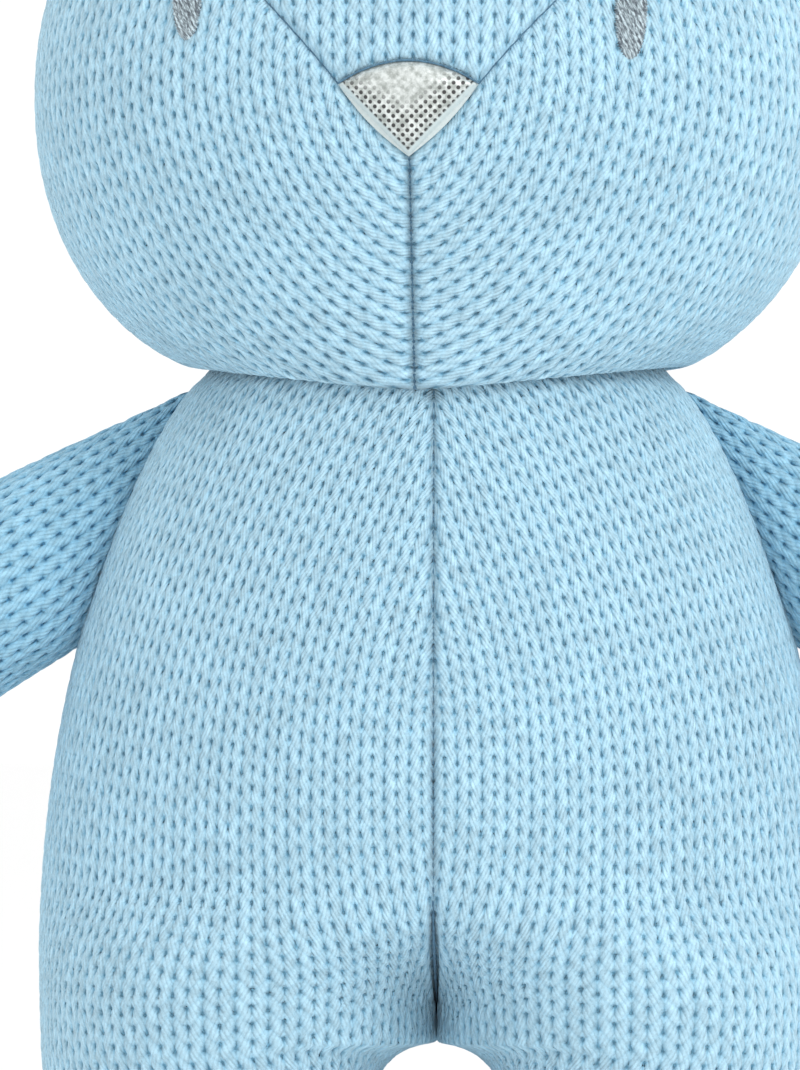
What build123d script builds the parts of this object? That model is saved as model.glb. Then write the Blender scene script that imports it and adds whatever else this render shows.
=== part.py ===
"""Knitted stuffed animal with a wide round head, two sewn-in ears, side-seam arms and legs in one with the body.

Row frame: +Z up, the face looks along -Y, the toy's own left is +X, origin on the floor under the middle of the box.
Every soft part is a knitted cover made of sewn panels round a stuffing core. Units are millimetres.
"""

import math
import os

from build123d import *

os.makedirs("parts", exist_ok=True)

# ---------------------------------------------------------------- fabric, thread and clearances
cover = 1.6  # thickness of the knitted fabric
thread = 0.8  # width and depth of a sunk seam thread
gap = 0.4  # clearance between pieces on different bodies

# ---------------------------------------------------------------- head
head_width = 120.0
head_round = 97.0  # height and depth: the head is round about the X axis
head_squareness = 2.3  # exponent of the head's outline: 2 is an ellipse
chin_sink = 5.3  # how far the head's lowest point lies below the neck seam
crown_seam_y = 3.0  # plane of the seam between the face side and the back of the head

nose_width = 21.0
nose_drop = 10.9  # from the nose's corners down to its tip
nose_arch = 3.4  # how far its upper edge rises between the corners
nose_corner_rise = 1.0  # height of the nose's corners above the middle of the head
nose_puff = 0.7  # how far the nose stands proud of the knit
forehead_slope = 52.0  # degrees that each forehead seam rises from the horizontal

eye_spacing = 67.0
eye_width = 4.8
eye_height = 15.0
eye_rise = 14.5  # height of the eyes above the middle of the head
eye_pad = 0.6  # thickness of the embroidery

# ---------------------------------------------------------------- ears
ear_length = 92.0
ear_width = 40.0
ear_base_width = 30.0
ear_thickness = 8.0
ear_root_thickness = 2.4
ear_spacing = 54.0  # between the middles of the two ear roots
ear_taper_length = 16.0  # length over which the thin root grows to full thickness

# ---------------------------------------------------------------- torso
neck_z = 147.0  # height of the neck seam
belly_z = 62.0  # height of the widest part of the body
belly_width = 119.6
belly_depth = 84.0
neck_width = 72.0  # the neck is round
body_fullness = 0.82  # exponent of the body's outline between belly and neck
dome_radius = 48.4  # radius of the rounded top of the torso, which carries the head
neck_space = 2.0  # room between the torso's dome and the head's cup, where the neck thread runs
neck_thread_radius = 33.5  # radius of the ring of stitches in that space

# ---------------------------------------------------------------- arms
arm_slope = 31.6  # degrees that each arm hangs below the horizontal
arm_radius = 14.0
hand_radius = 14.8
arm_mid_x = 65.7  # a point on the arm's middle line
arm_mid_z = 116.8
arm_reach = 50.0  # from that point to the tip of the hand
arm_root_half = 1.2  # half the thickness of the flat root sewn into the side seam
arm_root_angle = 29.0  # degrees that each flat side of the root opens
arm_seam_drop = 38.0  # height of the side seam that the arm is sewn into
arm_seat = 1.4  # room between the arm's root and the body's side

# ---------------------------------------------------------------- legs
hip_z = 52.0  # height of the hip crease at the back
hip_y = -16.0  # the hip axis lies this far in front of the middle
hip_radius = 20.0  # radius of the rounded top of each leg
leg_middle_gap = 1.0  # between the two legs at the top
foot_spacing = 66.0  # between the middles of the two soles
foot_width = 44.4
foot_depth = 54.0
sole_width = 31.0
sole_depth = 38.0

# ---------------------------------------------------------------- care label
label_width = 14.0
label_standout = 10.0
label_thickness = 0.6
label_z = 84.0

# ---------------------------------------------------------------- derived places
head_z = neck_z - chin_sink + head_round / 2
dome_z = neck_z - math.sqrt(dome_radius**2 - (neck_width / 2) ** 2)
cup_radius = dome_radius + neck_space
nose_z = head_z + nose_corner_rise
eye_z = head_z + eye_rise
far = 400.0  # larger than the whole toy, for cutting blocks


def save(shape, name: str):
    """Labels one finished piece, writes its STEP file and prints its volume."""
    shape.label = name
    export_step(shape, f"parts/{name}.step")
    print(f"{name:24s} {shape.volume / 1000:8.2f} cm3")


def facing(z):
    """An upright drawing plane across the toy at height z, looked at from the front."""
    return Plane(origin=(0, 0, z), x_dir=(1, 0, 0), z_dir=(0, -1, 0))


def block(x0, x1, y0, y1, z0, z1):
    """A cutting block between two corners, built on its own."""
    with BuildPart() as made:
        with BuildSketch(Plane.XY.offset(z0)):
            with Locations(((x0 + x1) / 2, (y0 + y1) / 2)):
                Rectangle(x1 - x0, y1 - y0)
        extrude(amount=z1 - z0)
    return made.part


def ball(radius, z):
    """A ball on the middle axis at height z."""
    with BuildPart() as made:
        with Locations((0, 0, z)):
            Sphere(radius)
    return made.part


front_of_crown = block(-far, far, -far, crown_seam_y, -far, far)
back_of_crown = block(-far, far, crown_seam_y, far, -far, far)
front_half = block(-far, far, -far, 0, -far, far)
back_half = block(-far, far, 0, far, -far, far)
left_half = block(0, far, -far, far, -far, far)
right_half = block(-far, 0, -far, far, -far, far)
middle_slab = block(-thread / 2, thread / 2, -far, far, -far, far)


# ================================================================ head
def head_form(inset):
    """The head's round form, drawn in by inset all over: a squared ellipse turned about the X axis."""
    half_width = head_width / 2 - inset
    radius = head_round / 2 - inset

    def rim(share):
        """A point on the lower outline, share 0 at the right cheek and 1 at the left."""
        angle = math.pi * (1 - share)
        across = math.copysign(abs(math.cos(angle)) ** (2 / head_squareness), math.cos(angle))
        return (half_width * across, -radius * math.sin(angle) ** (2 / head_squareness))

    with BuildPart() as made:
        with BuildSketch(facing(head_z)):
            with BuildLine():
                Spline(*[rim(i / 16) for i in range(17)])
                Line((half_width, 0), (-half_width, 0))
            make_face()
        revolve(axis=Axis((0, 0, head_z), (1, 0, 0)))
    return made.part


def jowl(inset):
    """The full underside of the head drawn in by inset: a cone from the neck seam, flush with the round face."""
    rim = (neck_width / 2, dome_z + math.sqrt(cup_radius**2 - (neck_width / 2) ** 2) - head_z)
    reach = math.hypot(*rim)
    angle = math.atan2(rim[1], rim[0]) + math.acos(head_round / 2 / reach)
    inside = head_round / 2 * 0.985  # the cone's top edge ends a little inside the round face
    meet = (inside * math.cos(angle), inside * math.sin(angle))
    lean = (meet[0] - rim[0]) / (meet[1] - rim[1])
    below = 8.0
    with BuildPart() as made:
        with BuildSketch(facing(head_z)):
            Polygon(
                (0, rim[1] - below),
                (rim[0] - lean * below - inset, rim[1] - below),
                (meet[0] - inset, meet[1]),
                (0, meet[1]),
                align=None,
            )
        revolve(axis=Axis.Z)
    return made.part


head_outer = (head_form(0) + jowl(0)) - ball(cup_radius, dome_z)
head_inner = (head_form(cover) + jowl(cover * 1.1)) - ball(cup_radius + cover, dome_z)

with BuildPart() as head_stuffing:
    add(head_inner)

with BuildPart() as nose_prism:
    with BuildSketch(facing(nose_z)):
        with BuildLine():
            ThreePointArc((-nose_width / 2, 0), (0, nose_arch), (nose_width / 2, 0))
            Polyline((nose_width / 2, 0), (0, -nose_drop), (-nose_width / 2, 0))
        make_face()
    extrude(amount=far)

forehead_run = head_width  # the forehead block reaches past the head on each side
forehead_rise = forehead_run * math.tan(math.radians(forehead_slope))
with BuildPart() as forehead_prism:
    with BuildSketch(facing(nose_z)):
        Polygon(
            (-nose_width / 2, 0),
            (nose_width / 2, 0),
            (nose_width / 2 + forehead_run, forehead_rise),
            (-nose_width / 2 - forehead_run, forehead_rise),
            align=None,
        )
    extrude(amount=far)

with BuildPart() as chin_seam_thread:
    add(head_outer)
    add(head_form(thread) + jowl(thread * 1.1), mode=Mode.SUBTRACT)
    add(middle_slab, mode=Mode.INTERSECT)
    add(block(-far, far, -far, 0, -far, nose_z - nose_drop), mode=Mode.INTERSECT)

with BuildPart() as nose_patch:
    add(head_form(-nose_puff))
    add(head_inner, mode=Mode.SUBTRACT)
    add(nose_prism.part, mode=Mode.INTERSECT)

with BuildPart() as head_cover:
    add(head_outer)
    add(head_inner, mode=Mode.SUBTRACT)

with BuildPart() as face_cover:
    add(head_cover.part)
    add(front_of_crown, mode=Mode.INTERSECT)
    add(nose_prism.part, mode=Mode.SUBTRACT)
    add(chin_seam_thread.part, mode=Mode.SUBTRACT)

with BuildPart() as forehead_panel:
    add(face_cover.part)
    add(forehead_prism.part, mode=Mode.INTERSECT)

face_panels = {}
head_back_panels = {}
for side, half in (("left", left_half), ("right", right_half)):
    with BuildPart() as face_panel:
        add(face_cover.part)
        add(forehead_prism.part, mode=Mode.SUBTRACT)
        add(half, mode=Mode.INTERSECT)
    face_panels[side] = face_panel.part
    with BuildPart() as head_back_panel:
        add(head_cover.part)
        add(back_of_crown, mode=Mode.INTERSECT)
        add(half, mode=Mode.INTERSECT)
    head_back_panels[side] = head_back_panel.part

with BuildPart() as eye_pads:
    add(head_form(-eye_pad))
    add(head_form(0), mode=Mode.SUBTRACT)
    with BuildSketch(facing(eye_z)) as eye_outline:
        with Locations((-eye_spacing / 2, 0), (eye_spacing / 2, 0)):
            Ellipse(eye_width / 2, eye_height / 2)
    extrude(amount=far, mode=Mode.INTERSECT)

for side in ("left", "right"):
    half = left_half if side == "left" else right_half
    save(face_panels[side], f"face_panel_{side}")
    save(head_back_panels[side], f"head_back_panel_{side}")
    save(eye_pads.part & half, f"eye_embroidery_{side}")
save(forehead_panel.part, "forehead_panel")
save(nose_patch.part, "nose_patch")
save(chin_seam_thread.part, "chin_seam_thread")
save(head_stuffing.part, "head_stuffing")

# ================================================================ neck stitches
neck_ring_radius = dome_radius + neck_space / 2
neck_ring_z = dome_z + math.sqrt(neck_ring_radius**2 - neck_thread_radius**2)
with BuildPart() as neck_ladder_stitch:
    with Locations((0, 0, neck_ring_z)):
        Torus(neck_thread_radius, thread / 2)
save(neck_ladder_stitch.part, "neck_ladder_stitch")

# ================================================================ ears
ear_x = ear_spacing / 2
ear_foot_z = head_z + head_round / 2 * (1 - (ear_x / (head_width / 2)) ** head_squareness) ** (1 / head_squareness)
ear_tilt = math.atan(
    (ear_x / (head_width / 2)) ** (head_squareness - 1)
    * (head_round / head_width)
    * ((head_round / 2) / (ear_foot_z - head_z)) ** (head_squareness - 1)
)
ear_up = Vector(math.sin(ear_tilt), 0, math.cos(ear_tilt))
ear_across = Vector(math.cos(ear_tilt), 0, -math.sin(ear_tilt))
ear_foot = Vector(ear_x, crown_seam_y, ear_foot_z) + ear_up * (gap + ear_root_thickness / 2)
ear_plane = Plane(origin=ear_foot, x_dir=ear_across, z_dir=ear_across.cross(ear_up))
ear_side_plane = Plane(origin=ear_foot, x_dir=Vector(0, 1, 0), z_dir=Vector(0, 1, 0).cross(ear_up))
ear_lining_thickness = ear_thickness - 2 * cover

with BuildPart() as ear_form:
    with BuildSketch(ear_plane):
        with BuildLine():
            Spline(
                (-ear_base_width / 2, 0),
                (-ear_width / 2, ear_length * 0.45),
                (-ear_width * 0.36, ear_length * 0.82),
                (0, ear_length),
                (ear_width * 0.36, ear_length * 0.82),
                (ear_width / 2, ear_length * 0.45),
                (ear_base_width / 2, 0),
                tangents=[(-0.15, 1), (-0.15, -1)],
            )
            Line((ear_base_width / 2, 0), (-ear_base_width / 2, 0))
        make_face()
    extrude(amount=ear_thickness / 2, both=True)
    with BuildSketch(ear_side_plane):
        Polygon(
            (-ear_root_thickness / 2, 0),
            (ear_root_thickness / 2, 0),
            (ear_thickness / 2, ear_taper_length),
            (ear_thickness / 2, ear_length),
            (-ear_thickness / 2, ear_length),
            (-ear_thickness / 2, ear_taper_length),
            align=None,
        )
    extrude(amount=ear_width, both=True, mode=Mode.INTERSECT)

lining_slab = block(
    -far, far, crown_seam_y - ear_lining_thickness / 2, crown_seam_y + ear_lining_thickness / 2, -far, far
)
with BuildPart() as ear_core:
    with BuildSketch(ear_plane.offset(0)):
        with BuildLine():
            Spline(
                (-ear_base_width / 2 + cover, ear_taper_length / 2),
                (-ear_width / 2 + cover, ear_length * 0.45),
                (-ear_width * 0.36 + cover * 0.7, ear_length * 0.82 - cover * 0.7),
                (0, ear_length - cover),
                (ear_width * 0.36 - cover * 0.7, ear_length * 0.82 - cover * 0.7),
                (ear_width / 2 - cover, ear_length * 0.45),
                (ear_base_width / 2 - cover, ear_taper_length / 2),
                tangents=[(-0.15, 1), (-0.15, -1)],
            )
            Line((ear_base_width / 2 - cover, ear_taper_length / 2), (-ear_base_width / 2 + cover, ear_taper_length / 2))
        make_face()
    extrude(amount=ear_thickness / 2, both=True)
    add(lining_slab, mode=Mode.INTERSECT)
    add(ear_form.part, mode=Mode.INTERSECT)

before_crown = block(-far, far, -far, crown_seam_y, -far, far)
ear_pieces = {
    "ear_front": (ear_form.part & before_crown) - ear_core.part,
    "ear_back": (ear_form.part & back_of_crown) - ear_core.part,
    "ear_lining": ear_core.part,
}
for name, piece in ear_pieces.items():
    save(piece, f"{name}_left")
    save(mirror(piece, about=Plane.YZ), f"{name}_right")


# ================================================================ torso
def side_x(z):
    """Half the body's width at height z, between the belly and the neck."""
    share = min(1.0, max(0.0, (z - belly_z) / (neck_z - belly_z)))
    return neck_width / 2 + (belly_width - neck_width) / 2 * (1 - share**2) ** body_fullness


def front_y(z):
    """Half the body's depth at height z, between the belly and the neck."""
    share = min(1.0, max(0.0, (z - belly_z) / (neck_z - belly_z)))
    return neck_width / 2 + (belly_depth - neck_width) / 2 * (1 - share**2) ** body_fullness


seat_z = hip_z - 8.0  # the lofted body starts below the hip crease and is cut off there
torso_shares = (0.0, 0.2, 0.4, 0.58, 0.74, 0.87, 0.96, 1.0)


def neck_dome(inset):
    """The rounded top of the torso drawn in by inset, standing on the neck seam."""
    with BuildPart() as made:
        with BuildSketch(Plane.XY.offset(neck_z)):
            Circle(neck_width / 2 - inset)
        extrude(amount=dome_radius)
        add(ball(dome_radius - inset, dome_z), mode=Mode.INTERSECT)
    return made.part


def torso_form(inset):
    """The torso drawn in by inset: ellipses from the seat to the neck, with the dome on top."""
    stations = [seat_z] + [belly_z + share * (neck_z - belly_z) for share in torso_shares]
    with BuildPart() as made:
        for z in stations:
            with BuildSketch(Plane.XY.offset(z)):
                Ellipse(side_x(z) - inset, front_y(z) - inset)
        loft()
        add(neck_dome(inset))
    return made.part


hip_axis = Axis((0, hip_y, hip_z), (1, 0, 0))


def barrel(radius):
    """A cylinder along the hip axis."""
    with BuildPart() as made:
        with BuildSketch(Plane.YZ.offset(-far)):
            with Locations((hip_y, hip_z)):
                Circle(radius)
        extrude(amount=2 * far)
    return made.part


def leg_room(inset):
    """What the torso leaves free for the legs, grown by inset: below the crease, the barrel and the thigh's way up."""
    with BuildPart() as made:
        add(barrel(hip_radius + gap + inset))
        add(block(-far, far, -far, far, -far, hip_z + gap / 2 + inset))
        add(block(-far, far, -far, hip_y, -far, hip_z + hip_radius + gap + inset))
    return made.part


torso_outer = torso_form(0) - leg_room(0)
torso_inner = torso_form(cover) - leg_room(cover)

with BuildPart() as torso_skin:
    add(torso_outer)
    add(torso_inner, mode=Mode.SUBTRACT)

torso_thread_band = (torso_form(0) - torso_form(thread) - leg_room(0)) & middle_slab
below_neck = block(-far, far, -far, far, -far, neck_z - thread)
belly_seam_thread = torso_thread_band & front_half & below_neck
back_seam_thread = torso_thread_band & back_half & below_neck
save(belly_seam_thread, "belly_seam_thread")
save(back_seam_thread, "back_seam_thread")

for side, half in (("left", left_half), ("right", right_half)):
    for face, part_half, seam in (("front", front_half, belly_seam_thread), ("back", back_half, back_seam_thread)):
        with BuildPart() as torso_panel:
            add(torso_skin.part)
            add(half, mode=Mode.INTERSECT)
            add(part_half, mode=Mode.INTERSECT)
            add(seam, mode=Mode.SUBTRACT)
        save(torso_panel.part, f"torso_{face}_panel_{side}")

with BuildPart() as torso_stuffing:
    add(torso_inner)
save(torso_stuffing.part, "torso_stuffing")

label_x = side_x(label_z)
with BuildPart() as care_label:
    with BuildSketch(Plane.XY.offset(label_z - label_width / 2)):
        with Locations((label_x + label_standout / 2, 0)):
            Rectangle(label_standout, label_thickness)
    extrude(amount=label_width)
    add(torso_form(0), mode=Mode.SUBTRACT)
save(care_label.part, "care_label")

# ================================================================ arms
arm_direction = Vector(math.cos(math.radians(arm_slope)), 0, -math.sin(math.radians(arm_slope)))
arm_mid = Vector(arm_mid_x, 0, arm_mid_z)
seam_top = Vector(side_x(neck_z - 1), 0, neck_z - 1)
seam_low = Vector(side_x(neck_z - arm_seam_drop), 0, neck_z - arm_seam_drop)
seam_line = (seam_low - seam_top).normalized()
seam_out = Vector(-seam_line.Z, 0, seam_line.X)
seam_bulge = max(
    (Vector(side_x(neck_z - drop), 0, neck_z - drop) - seam_top).dot(seam_out) for drop in range(1, int(arm_seam_drop))
)
arm_hinge = (seam_top + seam_low) * 0.5 + seam_out * (seam_bulge + arm_seat)


def arm_form(inset):
    """The arm drawn in by inset: a round sleeve with a rounded hand, pressed flat where it meets the side seam."""
    start = -(arm_mid - arm_hinge).length - arm_radius
    root_plane = Plane(origin=arm_mid, x_dir=arm_direction, z_dir=Vector(0, -1, 0))
    tip = arm_reach - inset
    with BuildPart() as made:
        with BuildSketch(root_plane):
            with BuildLine():
                sleeve = Spline(
                    (start, arm_radius - 1.2 - inset),
                    (0, arm_radius - inset),
                    (arm_reach * 0.5, hand_radius - inset),
                    (arm_reach * 0.84, hand_radius * 0.8 - inset * 0.9),
                    (tip, 0),
                    tangents=[(1, 0), (0, -1)],
                )
                Polyline(sleeve @ 1, (start, 0), sleeve @ 0)
            make_face()
        revolve(axis=Axis(arm_mid, arm_direction))
        wedge_length = arm_radius * 4
        flare = wedge_length * math.tan(math.radians(arm_root_angle))
        with BuildSketch(Plane(origin=arm_hinge, x_dir=seam_out, z_dir=seam_line)):
            Polygon(
                (inset, -arm_root_half + inset * 0.5),
                (inset, arm_root_half - inset * 0.5),
                (wedge_length, arm_root_half + flare - inset * 1.2),
                (wedge_length * 2, arm_root_half + flare - inset * 1.2),
                (wedge_length * 2, -arm_root_half - flare + inset * 1.2),
                (wedge_length, -arm_root_half - flare + inset * 1.2),
                align=None,
            )
        extrude(amount=far, both=True, mode=Mode.INTERSECT)
    return made.part


arm_outer = arm_form(0)
arm_inner = arm_form(cover)
arm_pieces = {
    "arm_front_panel": (arm_outer & front_half) - arm_inner,
    "arm_back_panel": (arm_outer & back_half) - arm_inner,
    "arm_stuffing": arm_inner,
}
for name, piece in arm_pieces.items():
    save(piece, f"{name}_left")
    save(mirror(piece, about=Plane.YZ), f"{name}_right")


# ================================================================ legs
thigh_half = (belly_width / 2 - leg_middle_gap / 2) / 2
thigh_x = leg_middle_gap / 2 + thigh_half
thigh_depth = 2 * (hip_radius - hip_y - 1.0)
leg_stations = (  # share of the way from the floor to the top, then half width, half depth and middle
    (0.00, sole_width / 2, sole_depth / 2, foot_spacing / 2),
    (0.05, foot_width / 2 - 2.6, foot_depth / 2 - 3.6, foot_spacing / 2),
    (0.20, foot_width / 2, foot_depth / 2, foot_spacing / 2),
    (0.42, foot_width / 2 + 1.3, foot_depth / 2 + 1.6, foot_spacing / 2 + 1.0),
    (0.61, foot_width / 2 + 3.5, foot_depth / 2 + 4.4, foot_spacing / 2 + 0.6),
    (0.80, thigh_half - 1.4, thigh_depth / 2 - 1.0, thigh_x + 1.0),
    (1.00, thigh_half, thigh_depth / 2, thigh_x),
)


def leg_limit(inset):
    """What the leg may fill, drawn in by inset: everything below the crease and the barrel about the hip axis."""
    with BuildPart() as made:
        add(block(-far, far, -far, far, -far, hip_z - gap / 2 - inset))
        add(barrel(hip_radius - inset))
    return made.part


def leg_form(inset):
    """The left leg drawn in by inset: ellipses from the sole up into the barrel at the hip."""
    top = hip_z + hip_radius + 2.0
    with BuildPart() as made:
        for share, half_width, half_depth, middle in leg_stations:
            height = max(share * top, inset)
            with BuildSketch(Plane.XY.offset(height)):
                with Locations((middle, 0)):
                    Ellipse(half_width - inset, half_depth - inset)
        loft()
        add(leg_limit(inset), mode=Mode.INTERSECT)
    return made.part


leg_outer = leg_form(0)
leg_inner = leg_form(cover)
leg_pieces = {
    "leg_front_panel": (leg_outer & front_half) - leg_inner,
    "leg_back_panel": (leg_outer & back_half) - leg_inner,
    "leg_stuffing": leg_inner,
}
for name, piece in leg_pieces.items():
    save(piece, f"{name}_left")
    save(mirror(piece, about=Plane.YZ), f"{name}_right")

print("neck pivot z", round(dome_z, 3), "head z", round(head_z, 3), "cup radius", round(cup_radius, 3))
print("ear foot", ear_foot, "ear across", ear_across, "ear up", ear_up)
print("arm hinge", arm_hinge, "seam line", seam_line, "seam out", seam_out)
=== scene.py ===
"""The looks of a knitted stuffed animal, built over its CAD frame.

Every visible cover is a sheet of stockinette: a fine grid laid over the soft form, with its own
stitch coordinates and with each stitch raised in the mesh. All shapes are worked out in
millimetres and turned into metres at the end. The face looks along -Y, the toy's own left is +X
and the floor is at height 0.
"""

from __future__ import annotations

import logging
import math
from dataclasses import dataclass, field
from enum import Enum
from typing import Callable, Sequence

import bpy
import numpy as np
from mathutils import Matrix, Vector

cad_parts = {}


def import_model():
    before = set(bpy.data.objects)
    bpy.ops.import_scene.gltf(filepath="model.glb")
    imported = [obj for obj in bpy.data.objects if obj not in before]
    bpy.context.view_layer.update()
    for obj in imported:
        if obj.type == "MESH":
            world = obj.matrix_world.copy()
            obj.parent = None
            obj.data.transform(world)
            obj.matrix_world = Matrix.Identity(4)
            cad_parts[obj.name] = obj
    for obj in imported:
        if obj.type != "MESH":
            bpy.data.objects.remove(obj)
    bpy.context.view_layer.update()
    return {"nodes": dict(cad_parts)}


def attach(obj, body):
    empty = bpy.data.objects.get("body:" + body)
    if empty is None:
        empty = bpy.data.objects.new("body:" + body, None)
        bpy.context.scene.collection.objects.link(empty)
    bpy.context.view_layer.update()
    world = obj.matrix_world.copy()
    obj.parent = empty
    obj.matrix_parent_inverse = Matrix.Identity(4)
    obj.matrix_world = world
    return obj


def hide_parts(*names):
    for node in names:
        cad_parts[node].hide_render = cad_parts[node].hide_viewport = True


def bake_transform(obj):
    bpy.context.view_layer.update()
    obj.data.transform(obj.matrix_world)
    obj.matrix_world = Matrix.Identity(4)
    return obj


log = logging.getLogger("knitted_toy")

MM = 0.001
SHELL_STEP = 8  # one inner grid line for this many outer ones
GRID_PITCH = 0.5  # spacing of the outer grid, in millimetres
COARSE_ROWS = 40
COARSE_COLUMNS = 30


class Side(Enum):
    """The toy's own left or right, as the sign of X."""

    LEFT = 1
    RIGHT = -1

    @property
    def word(self) -> str:
        """The side's name as it stands in piece names."""
        return self.name.lower()


class Facing(Enum):
    """The front or the back of the toy, as the sign of Y."""

    FRONT = -1
    BACK = 1

    @property
    def word(self) -> str:
        """The facing's name as it stands in piece names."""
        return self.name.lower()


# ---------------------------------------------------------------------------------------------- small helpers
def ease(t: np.ndarray | float) -> np.ndarray:
    """A smooth step from 0 to 1."""
    t = np.clip(t, 0.0, 1.0)
    return t * t * (3.0 - 2.0 * t)


def unit(vectors: np.ndarray) -> np.ndarray:
    """The vectors along the last axis at length 1."""
    length = np.linalg.norm(vectors, axis=-1, keepdims=True)
    return vectors / np.maximum(length, 1e-9)


def stack(x: np.ndarray, y: np.ndarray, z: np.ndarray) -> np.ndarray:
    """Three coordinate arrays as one array of points."""
    return np.stack(np.broadcast_arrays(x, y, z), axis=-1).astype(float)


def along_curve(points: np.ndarray, count: int) -> np.ndarray:
    """A polyline sampled again at even steps.

    Args:
        points: The polyline, one point a row.
        count: How many points to return.

    Returns:
        The new polyline.
    """
    length = np.concatenate([[0.0], np.cumsum(np.linalg.norm(np.diff(points, axis=0), axis=1))])
    want = np.linspace(0.0, length[-1], count)
    return np.stack([np.interp(want, length, points[:, k]) for k in range(points.shape[1])], axis=-1)


def bisect(low: np.ndarray, high: np.ndarray, value: Callable[[np.ndarray], np.ndarray]) -> np.ndarray:
    """Where a rising function crosses zero, for many cases at once.

    Args:
        low: Lower ends, where the value is below zero.
        high: Upper ends, where the value is above zero.
        value: The function.

    Returns:
        The crossings.
    """
    low = np.array(low, dtype=float)
    high = np.array(high, dtype=float)
    for _ in range(42):
        middle = 0.5 * (low + high)
        above = value(middle) > 0
        high = np.where(above, middle, high)
        low = np.where(above, low, middle)
    return 0.5 * (low + high)


def cubic_weights(coarse: int, fine: int) -> np.ndarray:
    """The matrix that turns coarse even samples into fine ones by cubic interpolation.

    Args:
        coarse: How many samples there are.
        fine: How many are wanted.

    Returns:
        A fine by coarse matrix.
    """
    place = np.linspace(0, coarse - 1, fine)
    cell = np.minimum(place.astype(int), coarse - 2)
    t = place - cell
    blend = [
        -0.5 * t + t**2 - 0.5 * t**3,
        1 - 2.5 * t**2 + 1.5 * t**3,
        0.5 * t + 2 * t**2 - 1.5 * t**3,
        -0.5 * t**2 + 0.5 * t**3,
    ]
    weights = np.zeros((fine, coarse))
    rows = np.arange(fine)
    for k, part in enumerate(blend):
        column = cell - 1 + k
        under = column < 0
        over = column > coarse - 1
        inside = ~(under | over)
        np.add.at(weights, (rows[inside], column[inside]), part[inside])
        np.add.at(weights, (rows[under], 0), 2 * part[under])
        np.add.at(weights, (rows[under], 1), -part[under])
        np.add.at(weights, (rows[over], coarse - 1), 2 * part[over])
        np.add.at(weights, (rows[over], coarse - 2), -part[over])
    return weights


def grid_normals(points: np.ndarray, outward_from: np.ndarray) -> np.ndarray:
    """Unit normals of a grid of points, turned away from an inner point.

    Args:
        points: Rows by columns of points.
        outward_from: A point, or a grid of points, inside the form.

    Returns:
        The normals.
    """
    down = np.gradient(points, axis=0)
    across = np.gradient(points, axis=1)
    normal = np.cross(down, across)
    size = np.linalg.norm(normal, axis=-1)
    poor = size < 1e-3 * np.median(size)
    normal = unit(normal)
    for row in range(1, points.shape[0]):
        normal[row][poor[row]] = normal[row - 1][poor[row]]
    for row in range(points.shape[0] - 2, -1, -1):
        normal[row][poor[row]] = normal[row + 1][poor[row]]
    if np.sum(normal * (points - outward_from)) < 0:
        normal = -normal
    return normal


# ---------------------------------------------------------------------------------------------- knitting
@dataclass(frozen=True)
class Gauge:
    """The size of the stitches and the relief that the yarn makes."""

    wale: float = 3.7
    course: float = 3.0
    leg_half_width: float = 0.87
    leg_half_length: float = 2.55
    leg_tilt: float = 13.5  # degrees that each leg of a stitch leans out of its wale
    tuck: float = 0.10  # how much lower the top of a leg lies than its foot
    relief: float = 0.72
    seam_sink: float = 0.95
    seam_width: float = 1.15
    seam_pull: float = 0.9
    seam_pull_width: float = 6.0
    backing: float = 1.1

    def height(self, u: np.ndarray, v: np.ndarray) -> np.ndarray:
        """The yarn's height over the cloth at each stitch place.

        Args:
            u: Wales counted across.
            v: Courses counted along.

        Returns:
            0 in the gaps, up to 1 on the yarn.
        """
        turn = math.radians(self.leg_tilt)
        across_wale = (np.abs(u - np.floor(u) - 0.5) * 2.0 - 0.5) * self.wale / 2
        best = np.zeros(np.shape(u))
        for step in (-1, 0, 1):
            along_wale = (v - np.floor(v) - 0.5 - step) * self.course
            along = along_wale * math.cos(turn) + across_wale * math.sin(turn)
            across = across_wale * math.cos(turn) - along_wale * math.sin(turn)
            out = (across / self.leg_half_width) ** 2 + (along / self.leg_half_length) ** 4
            leg = np.sqrt(np.maximum(0.0, 1.0 - out)) * (1.0 - self.tuck * along / self.leg_half_length)
            best = np.maximum(best, leg)
        return best


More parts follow.
